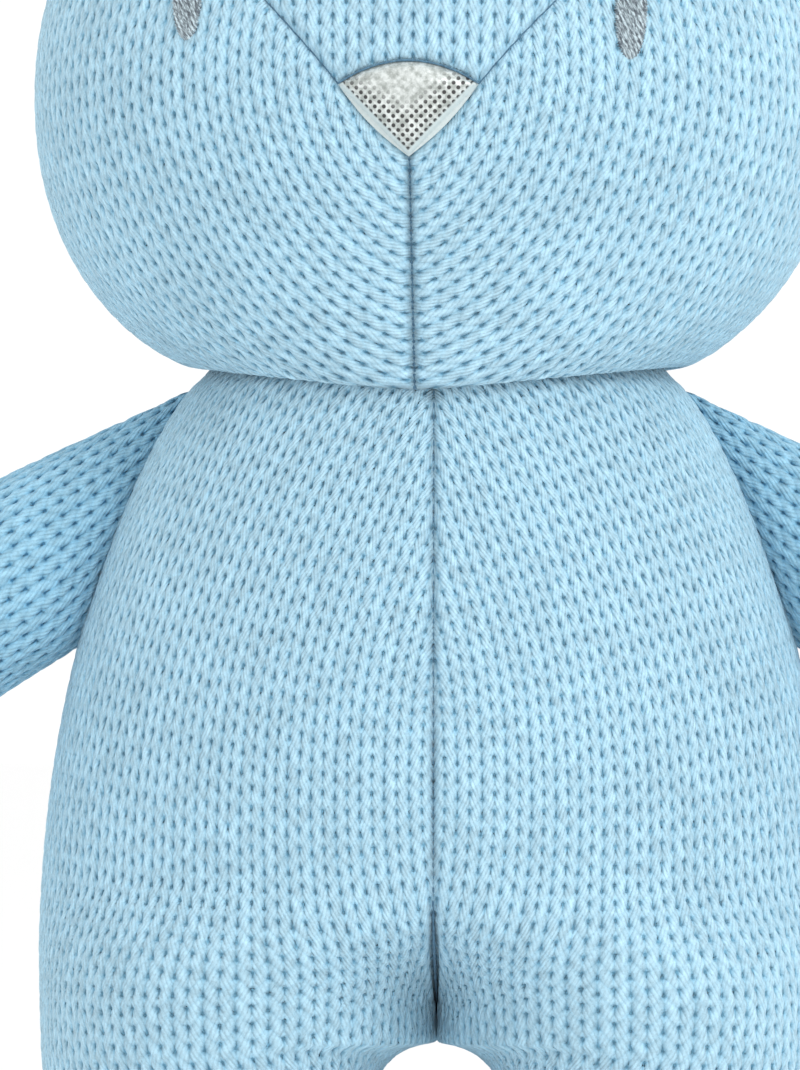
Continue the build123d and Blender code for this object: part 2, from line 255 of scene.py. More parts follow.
def stitch_places(
    points: np.ndarray, along: np.ndarray, normal: np.ndarray, gauge: Gauge, gather: np.ndarray | float = 1.0
) -> tuple[np.ndarray, np.ndarray]:
    """Lays straight knitted cloth over a form with the least stretch, given which way its wales run.

    Args:
        points: A coarse grid of points on the form.
        along: The direction that the wales run in, upwards, at each point.
        normal: The form's normals.
        gauge: The stitch sizes.
        gather: How much closer than normal the wales stand at each point, 1 for no gathering.

    Returns:
        Wales counted across and courses counted along, at each point.
    """
    along = unit(along - np.sum(along * normal, axis=-1, keepdims=True) * normal)
    across = np.cross(along, normal)
    rows, columns = points.shape[:2]
    count = rows * columns
    index = np.arange(count).reshape(rows, columns)
    flat = points.reshape(count, 3)
    flat_along = along.reshape(count, 3)
    flat_across = across.reshape(count, 3)
    spread = (np.ones((rows, columns)) * gather).reshape(count)
    matrix = np.zeros((count, count))
    right_u = np.zeros(count)
    right_v = np.zeros(count)
    step_across = np.linalg.norm(np.gradient(points, axis=1), axis=-1).reshape(count)
    step_down = np.linalg.norm(np.gradient(points, axis=0), axis=-1).reshape(count)
    pairs = ((index[:, :-1], index[:, 1:], step_down), (index[:-1], index[1:], step_across))
    for first, second, breadth in pairs:
        p, q = first.ravel(), second.ravel()
        edge = flat[q] - flat[p]
        length = np.maximum(np.linalg.norm(edge, axis=1), 0.05)
        weight = np.maximum(0.5 * (breadth[p] + breadth[q]), 0.02) / length
        close = 0.5 * (spread[p] + spread[q])
        want_u = np.sum(edge * (flat_across[p] + flat_across[q]) * 0.5, axis=1) / (gauge.wale * close)
        want_v = np.sum(edge * (flat_along[p] + flat_along[q]) * 0.5, axis=1) / gauge.course
        np.add.at(matrix, (p, p), weight)
        np.add.at(matrix, (q, q), weight)
        np.add.at(matrix, (p, q), -weight)
        np.add.at(matrix, (q, p), -weight)
        for right, want in ((right_u, want_u), (right_v, want_v)):
            np.add.at(right, q, weight * want)
            np.add.at(right, p, -weight * want)
    matrix[0, 0] += 1.0
    solved = np.linalg.solve(matrix, np.stack([right_u, right_v], axis=1))
    return solved[:, 0].reshape(rows, columns), solved[:, 1].reshape(rows, columns)


def edge_distances(points: np.ndarray) -> tuple[np.ndarray, np.ndarray, np.ndarray, np.ndarray]:
    """How far each point of a grid is from its four edges, measured along the grid.

    Args:
        points: Rows by columns of points.

    Returns:
        Distances to the first column, last column, first row and last row.
    """
    steps = np.linalg.norm(np.diff(points, axis=1), axis=-1)
    across = np.concatenate([np.zeros((points.shape[0], 1)), np.cumsum(steps, axis=1)], axis=1)
    steps = np.linalg.norm(np.diff(points, axis=0), axis=-1)
    down = np.concatenate([np.zeros((1, points.shape[1])), np.cumsum(steps, axis=0)], axis=0)
    return across, across[:, -1:] - across, down, down[-1:] - down


def soft_lumps(points: np.ndarray, seed: float) -> np.ndarray:
    """A gentle unevenness of the stuffing, from slow waves that depend on place alone.

    Args:
        points: Points in millimetres.
        seed: Shifts the pattern.

    Returns:
        A value from about -1 to 1 at each point.
    """
    x, y, z = points[..., 0], points[..., 1], points[..., 2]
    return (
        np.sin(x / 13.0 + seed) * np.cos(z / 17.0 + 1.3 * seed)
        + 0.6 * np.sin(z / 9.0 + x / 21.0 + 2.0 * seed)
        + 0.5 * np.cos(y / 11.0 - z / 14.0 + seed)
    ) / 2.1


def shell_mesh(name: str, outer: np.ndarray, inner: np.ndarray, step: int) -> bpy.types.Mesh:
    """A closed mesh from a fine outer grid and a coarse inner one, joined round the rim.

    Args:
        name: The mesh's name.
        outer: Rows by columns of points in millimetres, both counts one more than a multiple of step.
        inner: The inner grid, at every step-th outer point.
        step: How many outer cells go with one inner cell.

    Returns:
        The mesh, in metres.
    """
    rows, columns = outer.shape[:2]
    low_rows, low_columns = inner.shape[:2]
    high = np.arange(rows * columns).reshape(rows, columns)
    low = rows * columns + np.arange(low_rows * low_columns).reshape(low_rows, low_columns)

    def quads(index: np.ndarray, turned: bool) -> np.ndarray:
        """The faces of a grid of vertex numbers."""
        corners = [index[:-1, :-1], index[1:, :-1], index[1:, 1:], index[:-1, 1:]]
        if turned:
            corners.reverse()
        return np.stack([c.ravel() for c in corners], axis=1)

    triangles: list[tuple[int, int, int]] = []

    def join(fine: np.ndarray, coarse: np.ndarray) -> None:
        """Fans one edge of the fine grid onto the matching edge of the coarse one."""
        for k in range(len(coarse) - 1):
            start = k * step
            for i in range(step):
                anchor = coarse[k] if i < step // 2 else coarse[k + 1]
                triangles.append((fine[start + i], anchor, fine[start + i + 1]))
            triangles.append((coarse[k], coarse[k + 1], fine[start + step // 2]))

    join(high[0, ::-1], low[0, ::-1])
    join(high[-1], low[-1])
    join(high[:, 0], low[:, 0])
    join(high[::-1, -1], low[::-1, -1])
    four = np.concatenate([quads(high, False), quads(low, True)])
    three = np.array(triangles)
    loops = np.concatenate([four.ravel(), three.ravel()]).astype(np.int32)
    totals = np.concatenate([np.full(len(four), 4), np.full(len(three), 3)]).astype(np.int32)
    starts = np.concatenate([[0], np.cumsum(totals)[:-1]]).astype(np.int32)
    vertices = np.concatenate([outer.reshape(-1, 3), inner.reshape(-1, 3)]) * MM
    mesh = bpy.data.meshes.new(name)
    mesh.vertices.add(len(vertices))
    mesh.vertices.foreach_set("co", vertices.ravel())
    mesh.loops.add(len(loops))
    mesh.loops.foreach_set("vertex_index", loops)
    mesh.polygons.add(len(totals))
    mesh.polygons.foreach_set("loop_start", starts)
    mesh.polygons.foreach_set("loop_total", totals)
    mesh.polygons.foreach_set("use_smooth", np.ones(len(totals), dtype=bool))
    mesh.update(calc_edges=True)
    mesh.validate()
    return mesh


def put_maps(mesh: bpy.types.Mesh, u: np.ndarray, v: np.ndarray, seam: np.ndarray) -> None:
    """Gives a mesh its stitch coordinates as a UV map and its seam closeness as an attribute.

    Args:
        mesh: The mesh.
        u: Wales, one value a vertex.
        v: Courses, one value a vertex.
        seam: 1 at a seam and 0 away from it, one value a vertex.
    """
    corner = np.zeros(len(mesh.loops), dtype=np.int32)
    mesh.loops.foreach_get("vertex_index", corner)
    layer = mesh.uv_layers.new(name="Stitch")
    layer.data.foreach_set("uv", np.stack([u[corner], v[corner]], axis=1).ravel().astype(np.float32))
    attribute = mesh.attributes.new("Seam", "FLOAT", "POINT")
    attribute.data.foreach_set("value", seam.astype(np.float32))


def place_object(name: str, mesh: bpy.types.Mesh, material: bpy.types.Material) -> bpy.types.Object:
    """Makes a finished piece of a mesh and its material."""
    piece = bpy.data.objects.new(name, mesh)
    bpy.context.scene.collection.objects.link(piece)
    mesh.materials.append(material)
    return piece


def closed_tube(name: str, grid: np.ndarray, material: bpy.types.Material) -> bpy.types.Object:
    """A closed solid from rings of points, shut at both ends.

    Args:
        name: The piece's name.
        grid: Rings by points round each ring, in millimetres.
        material: Its material.

    Returns:
        The piece.
    """
    rows, columns = grid.shape[:2]
    index = np.arange(rows * columns).reshape(rows, columns)
    after = np.roll(index, -1, axis=1)
    sides = np.stack([index[:-1], after[:-1], after[1:], index[1:]], axis=-1).reshape(-1, 4)
    points = grid.reshape(-1, 3) * MM
    a, b, c, d = (points[sides[:, k]] for k in range(4))
    volume = np.sum(a * (np.cross(b, c) + np.cross(c, d)))
    faces = sides.tolist() + [index[0, ::-1].tolist(), index[-1].tolist()]
    mesh = bpy.data.meshes.new(name)
    mesh.from_pydata(points.tolist(), [], faces)
    if volume < 0:
        mesh.flip_normals()
    mesh.polygons.foreach_set("use_smooth", np.ones(len(mesh.polygons), dtype=bool))
    mesh.update()
    log.info("%s: %d faces", name, len(faces))
    return place_object(name, mesh, material)


def front_and_back(make: Callable[[Facing], np.ndarray]) -> np.ndarray:
    """Joins a form's front and back grids into whole rings.

    Args:
        make: Gives the grid of one facing.

    Returns:
        The rings.
    """
    return np.concatenate([make(Facing.FRONT), make(Facing.BACK)[:, -2:0:-1]], axis=1)


@dataclass
class Panel:
    """One sewn panel of knitted cloth: where it lies, which way it is knitted, where it is seamed."""

    name: str
    surface: Callable[[int, int], np.ndarray]  # rows and columns to points
    along: Callable[[np.ndarray, np.ndarray], np.ndarray]  # points and normals to the wales' direction
    normals: Callable[[np.ndarray], np.ndarray]
    gather: Callable[[np.ndarray], np.ndarray] | None = None
    # first and last column, first and last row
    seams: tuple[float, float, float, float] = (1.0, 1.0, 1.0, 1.0)
    lump: float = 0.3
    seed: float = 0.0
    pitch: float = GRID_PITCH

    def build(self, gauge: Gauge, material: bpy.types.Material, side: Side = Side.LEFT) -> bpy.types.Object:
        """Knits the panel.

        Args:
            gauge: The stitch sizes.
            material: The knit's material.
            side: LEFT as drawn, or RIGHT for its mirror image.

        Returns:
            The finished piece.
        """
        coarse = self.surface(COARSE_ROWS, COARSE_COLUMNS)
        coarse_normal = self.normals(coarse)
        tight = 1.0 if self.gather is None else self.gather(coarse)
        u, v = stitch_places(coarse, self.along(coarse, coarse_normal), coarse_normal, gauge, tight)
        tall = np.max(np.sum(np.linalg.norm(np.diff(coarse, axis=0), axis=-1), axis=0))
        wide = np.max(np.sum(np.linalg.norm(np.diff(coarse, axis=1), axis=-1), axis=1))
        rows = SHELL_STEP * max(2, round(tall / self.pitch / SHELL_STEP)) + 1
        columns = SHELL_STEP * max(2, round(wide / self.pitch / SHELL_STEP)) + 1
        points = self.surface(rows, columns)
        normal = self.normals(points)
        down, over = cubic_weights(COARSE_ROWS, rows), cubic_weights(COARSE_COLUMNS, columns)
        u, v = down @ u @ over.T, down @ v @ over.T
        nearness = np.zeros(points.shape[:2])
        pull = np.zeros(points.shape[:2])
        nearest = np.full(points.shape[:2], 99.0)
        for strength, distance in zip(self.seams, edge_distances(points)):
            if strength > 0:
                nearness = np.maximum(nearness, strength * np.exp(-((distance / gauge.seam_width) ** 2)))
                pull = np.maximum(pull, strength * np.exp(-distance / gauge.seam_pull_width))
                nearest = np.minimum(nearest, distance)
        fade = ease(nearest / 1.1)
        lift = gauge.relief * gauge.height(u, v) * fade
        lift = lift - gauge.seam_sink * nearness - gauge.seam_pull * pull
        lift = lift + self.lump * soft_lumps(points, self.seed) * ease(nearest / 9.0)
        outer = points + normal * lift[..., None]
        inner = (
            points - normal * (
                gauge.backing + gauge.seam_sink * nearness + gauge.seam_pull * pull
            )[..., None]
        )
        inner = inner[::SHELL_STEP, ::SHELL_STEP]
        if side is Side.RIGHT:
            outer = outer * [-1, 1, 1]
            inner = inner * [-1, 1, 1]
        outer[..., 2] = np.maximum(outer[..., 2], 0.0)
        inner[..., 2] = np.maximum(inner[..., 2], 0.6)
        turned = np.sum(np.cross(np.gradient(points, axis=0), np.gradient(points, axis=1)) * normal) < 0
        if turned != (side is Side.RIGHT):
            outer, inner = outer[:, ::-1], inner[:, ::-1]
            u, v, nearness = u[:, ::-1], v[:, ::-1], nearness[:, ::-1]
        mesh = shell_mesh(self.name, outer, inner, SHELL_STEP)
        every = (slice(None, None, SHELL_STEP), slice(None, None, SHELL_STEP))
        put_maps(
            mesh,
            np.concatenate([u.ravel(), u[every].ravel()]),
            np.concatenate([v.ravel(), v[every].ravel()]),
            np.concatenate([nearness.ravel(), nearness[every].ravel()]),
        )
        piece = place_object(self.name, mesh, material)
        log.info("%s: %d by %d grid", self.name, rows, columns)
        return piece


# ---------------------------------------------------------------------------------------------- finishes
class Nodes:
    """A short way to write node trees: each call adds a node and returns its output."""

    def __init__(self, tree: bpy.types.NodeTree) -> None:
        """Starts on a tree."""
        self.tree = tree

    def add(self, kind: str, **settings: object) -> bpy.types.Node:
        """Adds a node and sets its properties."""
        node = self.tree.nodes.new(kind)
        for key, value in settings.items():
            setattr(node, key, value)
        return node

    def feed(self, socket: bpy.types.NodeSocket, value: object) -> None:
        """Links a socket to another, or sets its value."""
        if isinstance(value, bpy.types.NodeSocket):
            self.tree.links.new(value, socket)
        elif value is not None:
            socket.default_value = value

    def math(
        self, operation: str, first: object, second: object = None, clamp: bool = False
    ) -> bpy.types.NodeSocket:
        """A Math node."""
        node = self.add("ShaderNodeMath", operation=operation, use_clamp=clamp)
        self.feed(node.inputs[0], first)
        self.feed(node.inputs[1], second)
        return node.outputs[0]

    def sum_of(
        self, first: object, first_share: float, second: object, second_share: float
    ) -> bpy.types.NodeSocket:
        """Two values, each times its own number, added."""
        node = self.add("ShaderNodeMath", operation="MULTIPLY_ADD")
        self.feed(node.inputs[0], second)
        self.feed(node.inputs[1], second_share)
        self.feed(node.inputs[2], self.math("MULTIPLY", first, first_share))
        return node.outputs[0]

    def mix(self, share: object, first: object, second: object, blend: str = "MIX") -> bpy.types.NodeSocket:
        """A colour Mix node."""
        node = self.add("ShaderNodeMix", data_type="RGBA", blend_type=blend)
        self.feed(node.inputs[0], share)
        self.feed(node.inputs[6], first)
        self.feed(node.inputs[7], second)
        return node.outputs[2]

    def noise(
        self, vector: object, scale: float, detail: float = 2.0, roughness: float = 0.5
    ) -> bpy.types.NodeSocket:
        """A Noise Texture's value."""
        node = self.add("ShaderNodeTexNoise")
        self.feed(node.inputs["Vector"], vector)
        node.inputs["Scale"].default_value = scale
        node.inputs["Detail"].default_value = detail
        node.inputs["Roughness"].default_value = roughness
        return node.outputs["Fac"]

    def stretch(
        self, value: object, low: float, high: float, to_low: float, to_high: float
    ) -> bpy.types.NodeSocket:
        """A Map Range node."""
        node = self.add("ShaderNodeMapRange")
        self.feed(node.inputs[0], value)
        for k, number in enumerate((low, high, to_low, to_high)):
            node.inputs[k + 1].default_value = number
        return node.outputs[0]

    def bump(
        self, height: object, distance: float, strength: float = 1.0, normal: object = None
    ) -> bpy.types.NodeSocket:
        """A Bump node."""
        node = self.add("ShaderNodeBump")
        node.inputs["Strength"].default_value = strength
        node.inputs["Distance"].default_value = distance
        self.feed(node.inputs["Height"], height)
        self.feed(node.inputs["Normal"], normal)
        return node.outputs["Normal"]


def fibre_group() -> bpy.types.NodeTree:
    """The node group of fine fibres and slow shade changes that every cloth and thread here shares.

    Returns:
        A group with inputs Vector and Fineness and outputs Fibre and Shade.
    """
    found = bpy.data.node_groups.get("fibre_fuzz")
    if found:
        return found
    tree = bpy.data.node_groups.new("fibre_fuzz", "ShaderNodeTree")
    tree.interface.new_socket("Vector", in_out="INPUT", socket_type="NodeSocketVector")
    fineness = tree.interface.new_socket("Fineness", in_out="INPUT", socket_type="NodeSocketFloat")
    fineness.default_value = 1.0
    tree.interface.new_socket("Fibre", in_out="OUTPUT", socket_type="NodeSocketFloat")
    tree.interface.new_socket("Shade", in_out="OUTPUT", socket_type="NodeSocketFloat")
    nodes = Nodes(tree)
    source = nodes.add("NodeGroupInput")
    sink = nodes.add("NodeGroupOutput")
    scaled = nodes.add("ShaderNodeVectorMath", operation="SCALE")
    nodes.feed(scaled.inputs[0], source.outputs["Vector"])
    nodes.feed(scaled.inputs["Scale"], source.outputs["Fineness"])
    fibre = nodes.noise(scaled.outputs[0], 2600.0, 4.0, 0.72)
    shade = nodes.noise(source.outputs["Vector"], 34.0, 3.0, 0.6)
    tree.links.new(fibre, sink.inputs["Fibre"])
    tree.links.new(shade, sink.inputs["Shade"])
    return tree


def new_material(name: str) -> tuple[bpy.types.Material, Nodes, bpy.types.Node]:
    """A fresh node material.

    Args:
        name: The material's name.

    Returns:
        The material, its node writer and its Principled BSDF.
    """
    material = bpy.data.materials.new(name)
    material.use_nodes = True
    shader = material.node_tree.nodes["Principled BSDF"]
    return material, Nodes(material.node_tree), shader


def fibre_outputs(nodes: Nodes, fineness: float = 1.0) -> tuple[bpy.types.NodeSocket, bpy.types.NodeSocket]:
    """Places the fibre group on object coordinates.

    Args:
        nodes: The material's node writer.
        fineness: How much finer than normal the fibres are.

    Returns:
        The Fibre and Shade outputs.
    """
    place = nodes.add("ShaderNodeTexCoord")
    group = nodes.add("ShaderNodeGroup", node_tree=fibre_group())
    nodes.feed(group.inputs["Vector"], place.outputs["Object"])
    group.inputs["Fineness"].default_value = fineness
    return group.outputs["Fibre"], group.outputs["Shade"]


@dataclass(frozen=True)
class KnitFinish:
    """Light blue yarn knitted in stockinette, with painted highlights on its crests and painted shade in its
    gaps and seams.
    """

    name: str = "blue_knit"
    # the crest colour is a painted highlight on the yarn's tops and the gap colour is painted shade between
    # the legs
    highlit_crest: tuple[float, float, float] = (0.44, 0.665, 0.79)
    body: tuple[float, float, float] = (0.275, 0.515, 0.672)
    shaded_gap: tuple[float, float, float] = (0.155, 0.36, 0.505)
    roughness: float = 0.9
    sheen: float = 0.15
    leg_bump: float = 0.0005
    ply_bump: float = 0.00012
    fibre_bump: float = 0.00010

    def leg(
        self, nodes: Nodes, gauge: Gauge, across_wale: bpy.types.NodeSocket, phase: bpy.types.NodeSocket,
        step: int
    ) -> bpy.types.NodeSocket:
        """The height of one leg of a stitch, by the same rule as Gauge.height.

        Args:
            nodes: The material's node writer.
            gauge: The stitch sizes.
            across_wale: Millimetres across from the leg's middle.
            phase: Share of a course, from 0 to 1.
            step: Which course the leg belongs to, counted from this one.

        Returns:
            The height.
        """
        turn = math.radians(gauge.leg_tilt)
        sine, cosine = math.sin(turn), math.cos(turn)
        along_wale = nodes.math("MULTIPLY", nodes.math("SUBTRACT", phase, 0.5 + step), gauge.course)
        along = nodes.sum_of(along_wale, cosine, across_wale, sine)
        across = nodes.sum_of(across_wale, cosine, along_wale, -sine)
        wide = nodes.math(
            "POWER", nodes.math("ABSOLUTE", nodes.math("DIVIDE", across, gauge.leg_half_width)), 2.0
        )
        long = nodes.math(
            "POWER", nodes.math("ABSOLUTE", nodes.math("DIVIDE", along, gauge.leg_half_length)), 4.0
        )
        left = nodes.math("SUBTRACT", 1.0, nodes.math("ADD", wide, long), clamp=True)
        droop = nodes.math(
            "SUBTRACT", 1.0, nodes.math("MULTIPLY", along, gauge.tuck / gauge.leg_half_length)
        )
        return nodes.math("MULTIPLY", nodes.math("SQRT", left), droop)

    def make(self, gauge: Gauge) -> bpy.types.Material:
        """Builds the material.

        Args:
            gauge: The stitch sizes.

        Returns:
            The material.
        """
        material, nodes, shader = new_material(self.name)
        uv = nodes.add("ShaderNodeUVMap", uv_map="Stitch")
        split = nodes.add("ShaderNodeSeparateXYZ")
        nodes.feed(split.inputs[0], uv.outputs[0])
        u, v = split.outputs[0], split.outputs[1]
        arm = nodes.math("ABSOLUTE", nodes.math("SUBTRACT", nodes.math("FRACT", u), 0.5))
        across_wale = nodes.math("MULTIPLY", nodes.math("SUBTRACT", arm, 0.25), gauge.wale)
        phase = nodes.math("FRACT", v)
        before, here, after = (self.leg(nodes, gauge, across_wale, phase, step) for step in (-1, 0, 1))
        height = nodes.math("MAXIMUM", nodes.math("MAXIMUM", before, here), after)
        # every leg is one piece of yarn, a little lighter or darker than the next
        course = nodes.math("SUBTRACT", nodes.math("FLOOR", v), nodes.math("GREATER_THAN", before, here))
        course = nodes.math("ADD", course, nodes.math("GREATER_THAN", after, here))
        cell = nodes.add("ShaderNodeCombineXYZ")
        nodes.feed(cell.inputs[0], nodes.math("FLOOR", nodes.math("MULTIPLY", u, 2.0)))
        nodes.feed(cell.inputs[1], course)
        chance = nodes.add("ShaderNodeTexWhiteNoise", noise_dimensions="2D")
        nodes.feed(chance.inputs["Vector"], cell.outputs[0])
        # two plies twist round each other, with painted shade in the grooves between them, and loose fibres
        # lie along them as streaks that also carry painted highlights
        twist = nodes.sum_of(v, 0.62 * gauge.course * math.pi, arm, 1.5 * gauge.wale * math.pi)
        ply = nodes.math("ABSOLUTE", nodes.math("SINE", twist))
        streak_place = nodes.add("ShaderNodeCombineXYZ")
        nodes.feed(streak_place.inputs[0], nodes.math("MULTIPLY", u, 5.5))
        nodes.feed(streak_place.inputs[1], nodes.math("MULTIPLY", v, 1.7))
        streak_and_highlight = nodes.noise(streak_place.outputs[0], 1.0, 3.0, 0.65)
        fibre, shade = fibre_outputs(nodes)
        # painted highlight on the crests and painted shade in the gaps, both by the yarn's height
        tone = nodes.mix(nodes.stretch(height, 0.50, 1.0, 0.0, 1.0), (*self.body, 1.0), (*self.highlit_crest, 1.0))
        tone = nodes.mix(nodes.stretch(height, 0.02, 0.52, 1.0, 0.0), tone, (*self.shaded_gap, 1.0))
        # random tint of each leg and of the fibres, with the painted shade and painted highlights below added
        # in
        tint_and_painted_light = nodes.math(
            "ADD", nodes.stretch(chance.outputs["Value"], 0.0, 1.0, 0.93, 1.05),
            nodes.stretch(fibre, 0.3, 0.7, -0.12, 0.12)
        )
        for part in (
            nodes.stretch(shade, 0.3, 0.7, -0.04, 0.04),
            nodes.stretch(ply, 0.0, 0.55, -0.09, 0.0),
            nodes.stretch(streak_and_highlight, 0.35, 0.68, -0.13, 0.16),
        ):
            tint_and_painted_light = nodes.math("ADD", tint_and_painted_light, part)
        # painted shade along the seams: the knit is darkened where the cloth dips into them
        seam = nodes.add("ShaderNodeAttribute", attribute_name="Seam")
        tint_and_painted_light = nodes.math("MULTIPLY", tint_and_painted_light, nodes.stretch(seam.outputs["Fac"], 0.4, 1.0, 1.0, 0.66))
        grey = nodes.add("ShaderNodeCombineColor")
        for k in range(3):
            nodes.feed(grey.inputs[k], tint_and_painted_light)
        nodes.feed(shader.inputs["Base Color"], nodes.mix(1.0, tone, grey.outputs[0], "MULTIPLY"))
        relief = nodes.bump(height, self.leg_bump, 0.8)
        relief = nodes.bump(ply, self.ply_bump, 1.0, relief)
        relief = nodes.bump(fibre, self.fibre_bump, 1.0, relief)
        nodes.feed(shader.inputs["Normal"], relief)
        shader.inputs["Roughness"].default_value = self.roughness
        shader.inputs["Sheen Weight"].default_value = self.sheen
        shader.inputs["Sheen Roughness"].default_value = 0.5
        shader.inputs["Specular IOR Level"].default_value = 0.2
        return material


@dataclass(frozen=True)
class FoilFinish:
    """Silver foil cloth with a printed diamond grid of specks, painted dark as a reflection low down, and a
    pale raw edge.
    """

    foil: tuple[float, float, float] = (0.39, 0.425, 0.405)
    pearl: tuple[float, float, float] = (0.72, 0.765, 0.75)
    # the specks' colour is a painted dark reflection
    speck: tuple[float, float, float] = (0.035, 0.035, 0.035)
    edge: tuple[float, float, float] = (0.58, 0.66, 0.66)
    pitch: float = 0.97  # from one speck to the next along the grid's diagonals, in millimetres

    def make(self) -> bpy.types.Material:
        """Builds the material, whose UV map is in millimetres across and down from the patch's middle top."""
        material, nodes, shader = new_material("silver_foil_fabric")
        uv = nodes.add("ShaderNodeUVMap", uv_map="Stitch")
        split = nodes.add("ShaderNodeSeparateXYZ")
        nodes.feed(split.inputs[0], uv.outputs[0])
        x, y = split.outputs[0], split.outputs[1]
        turn = math.sqrt(0.5) / self.pitch
        offsets = [
            nodes.math(
                "SUBTRACT", nodes.math("FRACT", nodes.sum_of(x, turn, y, sign * turn)), 0.5
            ) for sign in (1, -1)
        ]
        squares = [nodes.math("MULTIPLY", part, part) for part in offsets]
        distance = nodes.math("SQRT", nodes.math("ADD", squares[0], squares[1]))
        dot = nodes.stretch(distance, 0.26, 0.36, 1.0, 0.0)
        # painted dark reflection: the specks are painted dark along the lower edges and fade out towards the
        # top
        low = nodes.math("SUBTRACT", y, nodes.math("MULTIPLY", nodes.math("ABSOLUTE", x), -0.62))
        low = nodes.sum_of(low, 1.0, x, 0.10)
        reflection_fade = nodes.stretch(low, 5.6, 8.4, 0.10, 1.0)
        fibre, _ = fibre_outputs(nodes, 0.6)
        crinkle = nodes.noise(nodes.add("ShaderNodeTexCoord").outputs["Object"], 900.0, 3.0, 0.6)
        tone = nodes.mix(nodes.stretch(crinkle, 0.38, 0.62, 0.0, 1.0), (*self.foil, 1.0), (*self.pearl, 1.0))
        dark_reflection_speck = nodes.math("MULTIPLY", dot, reflection_fade)
        tone = nodes.mix(dark_reflection_speck, tone, (*self.speck, 1.0))
        rim = nodes.add("ShaderNodeAttribute", attribute_name="Seam")
        hem = nodes.stretch(rim.outputs["Fac"], 0.30, 0.42, 0.0, 0.95)
        nodes.feed(shader.inputs["Base Color"], nodes.mix(hem, tone, (*self.edge, 1.0)))
        metal = nodes.math("MULTIPLY", nodes.math("SUBTRACT", 1.0, dark_reflection_speck), 0.55)
        nodes.feed(
            shader.inputs["Metallic"], nodes.math("MULTIPLY", metal, nodes.math("SUBTRACT", 1.0, hem))
        )
        shader.inputs["Roughness"].default_value = 0.42
        relief = nodes.bump(crinkle, 0.0003, 0.6)
        relief = nodes.bump(dot, 0.00012, -0.6, relief)
        nodes.feed(shader.inputs["Normal"], nodes.bump(fibre, 0.00005, 0.8, relief))
        return material


@dataclass(frozen=True)
class ThreadFinish:
    """Twisted thread, matte or with a metallic glint."""

    name: str
    light: tuple[float, float, float]
    dark: tuple[float, float, float]
    metallic: float = 0.0
    roughness: float = 0.8
    satin_pitch: float = 0.0  # spacing of parallel stitches along V in millimetres, 0 for a plain thread

    def make(self) -> bpy.types.Material:
        """Builds the material."""
        material, nodes, shader = new_material(self.name)
        fibre, _ = fibre_outputs(nodes, 0.8)
        share = nodes.stretch(fibre, 0.36, 0.64, 0.0, 1.0)
        relief = nodes.bump(fibre, 0.00008, 1.0)
        if self.satin_pitch > 0:
            uv = nodes.add("ShaderNodeUVMap", uv_map="Stitch")
            split = nodes.add("ShaderNodeSeparateXYZ")
            nodes.feed(split.inputs[0], uv.outputs[0])
            # steep stitches that lean over, with painted shade between them and a painted glint on each
            lean = nodes.sum_of(split.outputs[0], 1.0, split.outputs[1], 0.45)
            wave = nodes.math(
                "ABSOLUTE", nodes.math("SINE", nodes.math("MULTIPLY", lean, math.pi / self.satin_pitch))
            )
            place = nodes.add("ShaderNodeCombineXYZ")
            nodes.feed(place.inputs[0], nodes.math("MULTIPLY", lean, 1.5 / self.satin_pitch))
            nodes.feed(place.inputs[1], nodes.math("MULTIPLY", split.outputs[1], 0.85))
            glint = nodes.noise(place.outputs[0], 1.0, 2.0, 0.7)
            share = nodes.math(
                "MULTIPLY", nodes.stretch(wave, 0.05, 0.6, 0.35, 1.0),
                nodes.stretch(glint, 0.40, 0.58, 0.0, 1.0)
            )
            relief = nodes.bump(wave, 0.00022, 1.0, relief)
        nodes.feed(shader.inputs["Base Color"], nodes.mix(share, (*self.dark, 1.0), (*self.light, 1.0)))
        nodes.feed(shader.inputs["Normal"], relief)
        shader.inputs["Metallic"].default_value = self.metallic
        shader.inputs["Roughness"].default_value = self.roughness
        shader.inputs["Sheen Weight"].default_value = 0.1
        return material


@dataclass(frozen=True)
class FillFinish:
    """Loose white fibre or wadding."""

    name: str
    tone: tuple[float, float, float] = (0.86, 0.86, 0.84)

    def make(self) -> bpy.types.Material:
        """Builds the material."""
        material, nodes, shader = new_material(self.name)
        fibre, shade = fibre_outputs(nodes, 0.35)
        dark = tuple(0.8 * part for part in self.tone)
        nodes.feed(
            shader.inputs["Base Color"],
            nodes.mix(nodes.stretch(shade, 0.3, 0.7, 0.0, 1.0), (*dark, 1.0), (*self.tone, 1.0))
        )
        nodes.feed(shader.inputs["Normal"], nodes.bump(fibre, 0.0006, 1.0))
        shader.inputs["Roughness"].default_value = 1.0
        return material


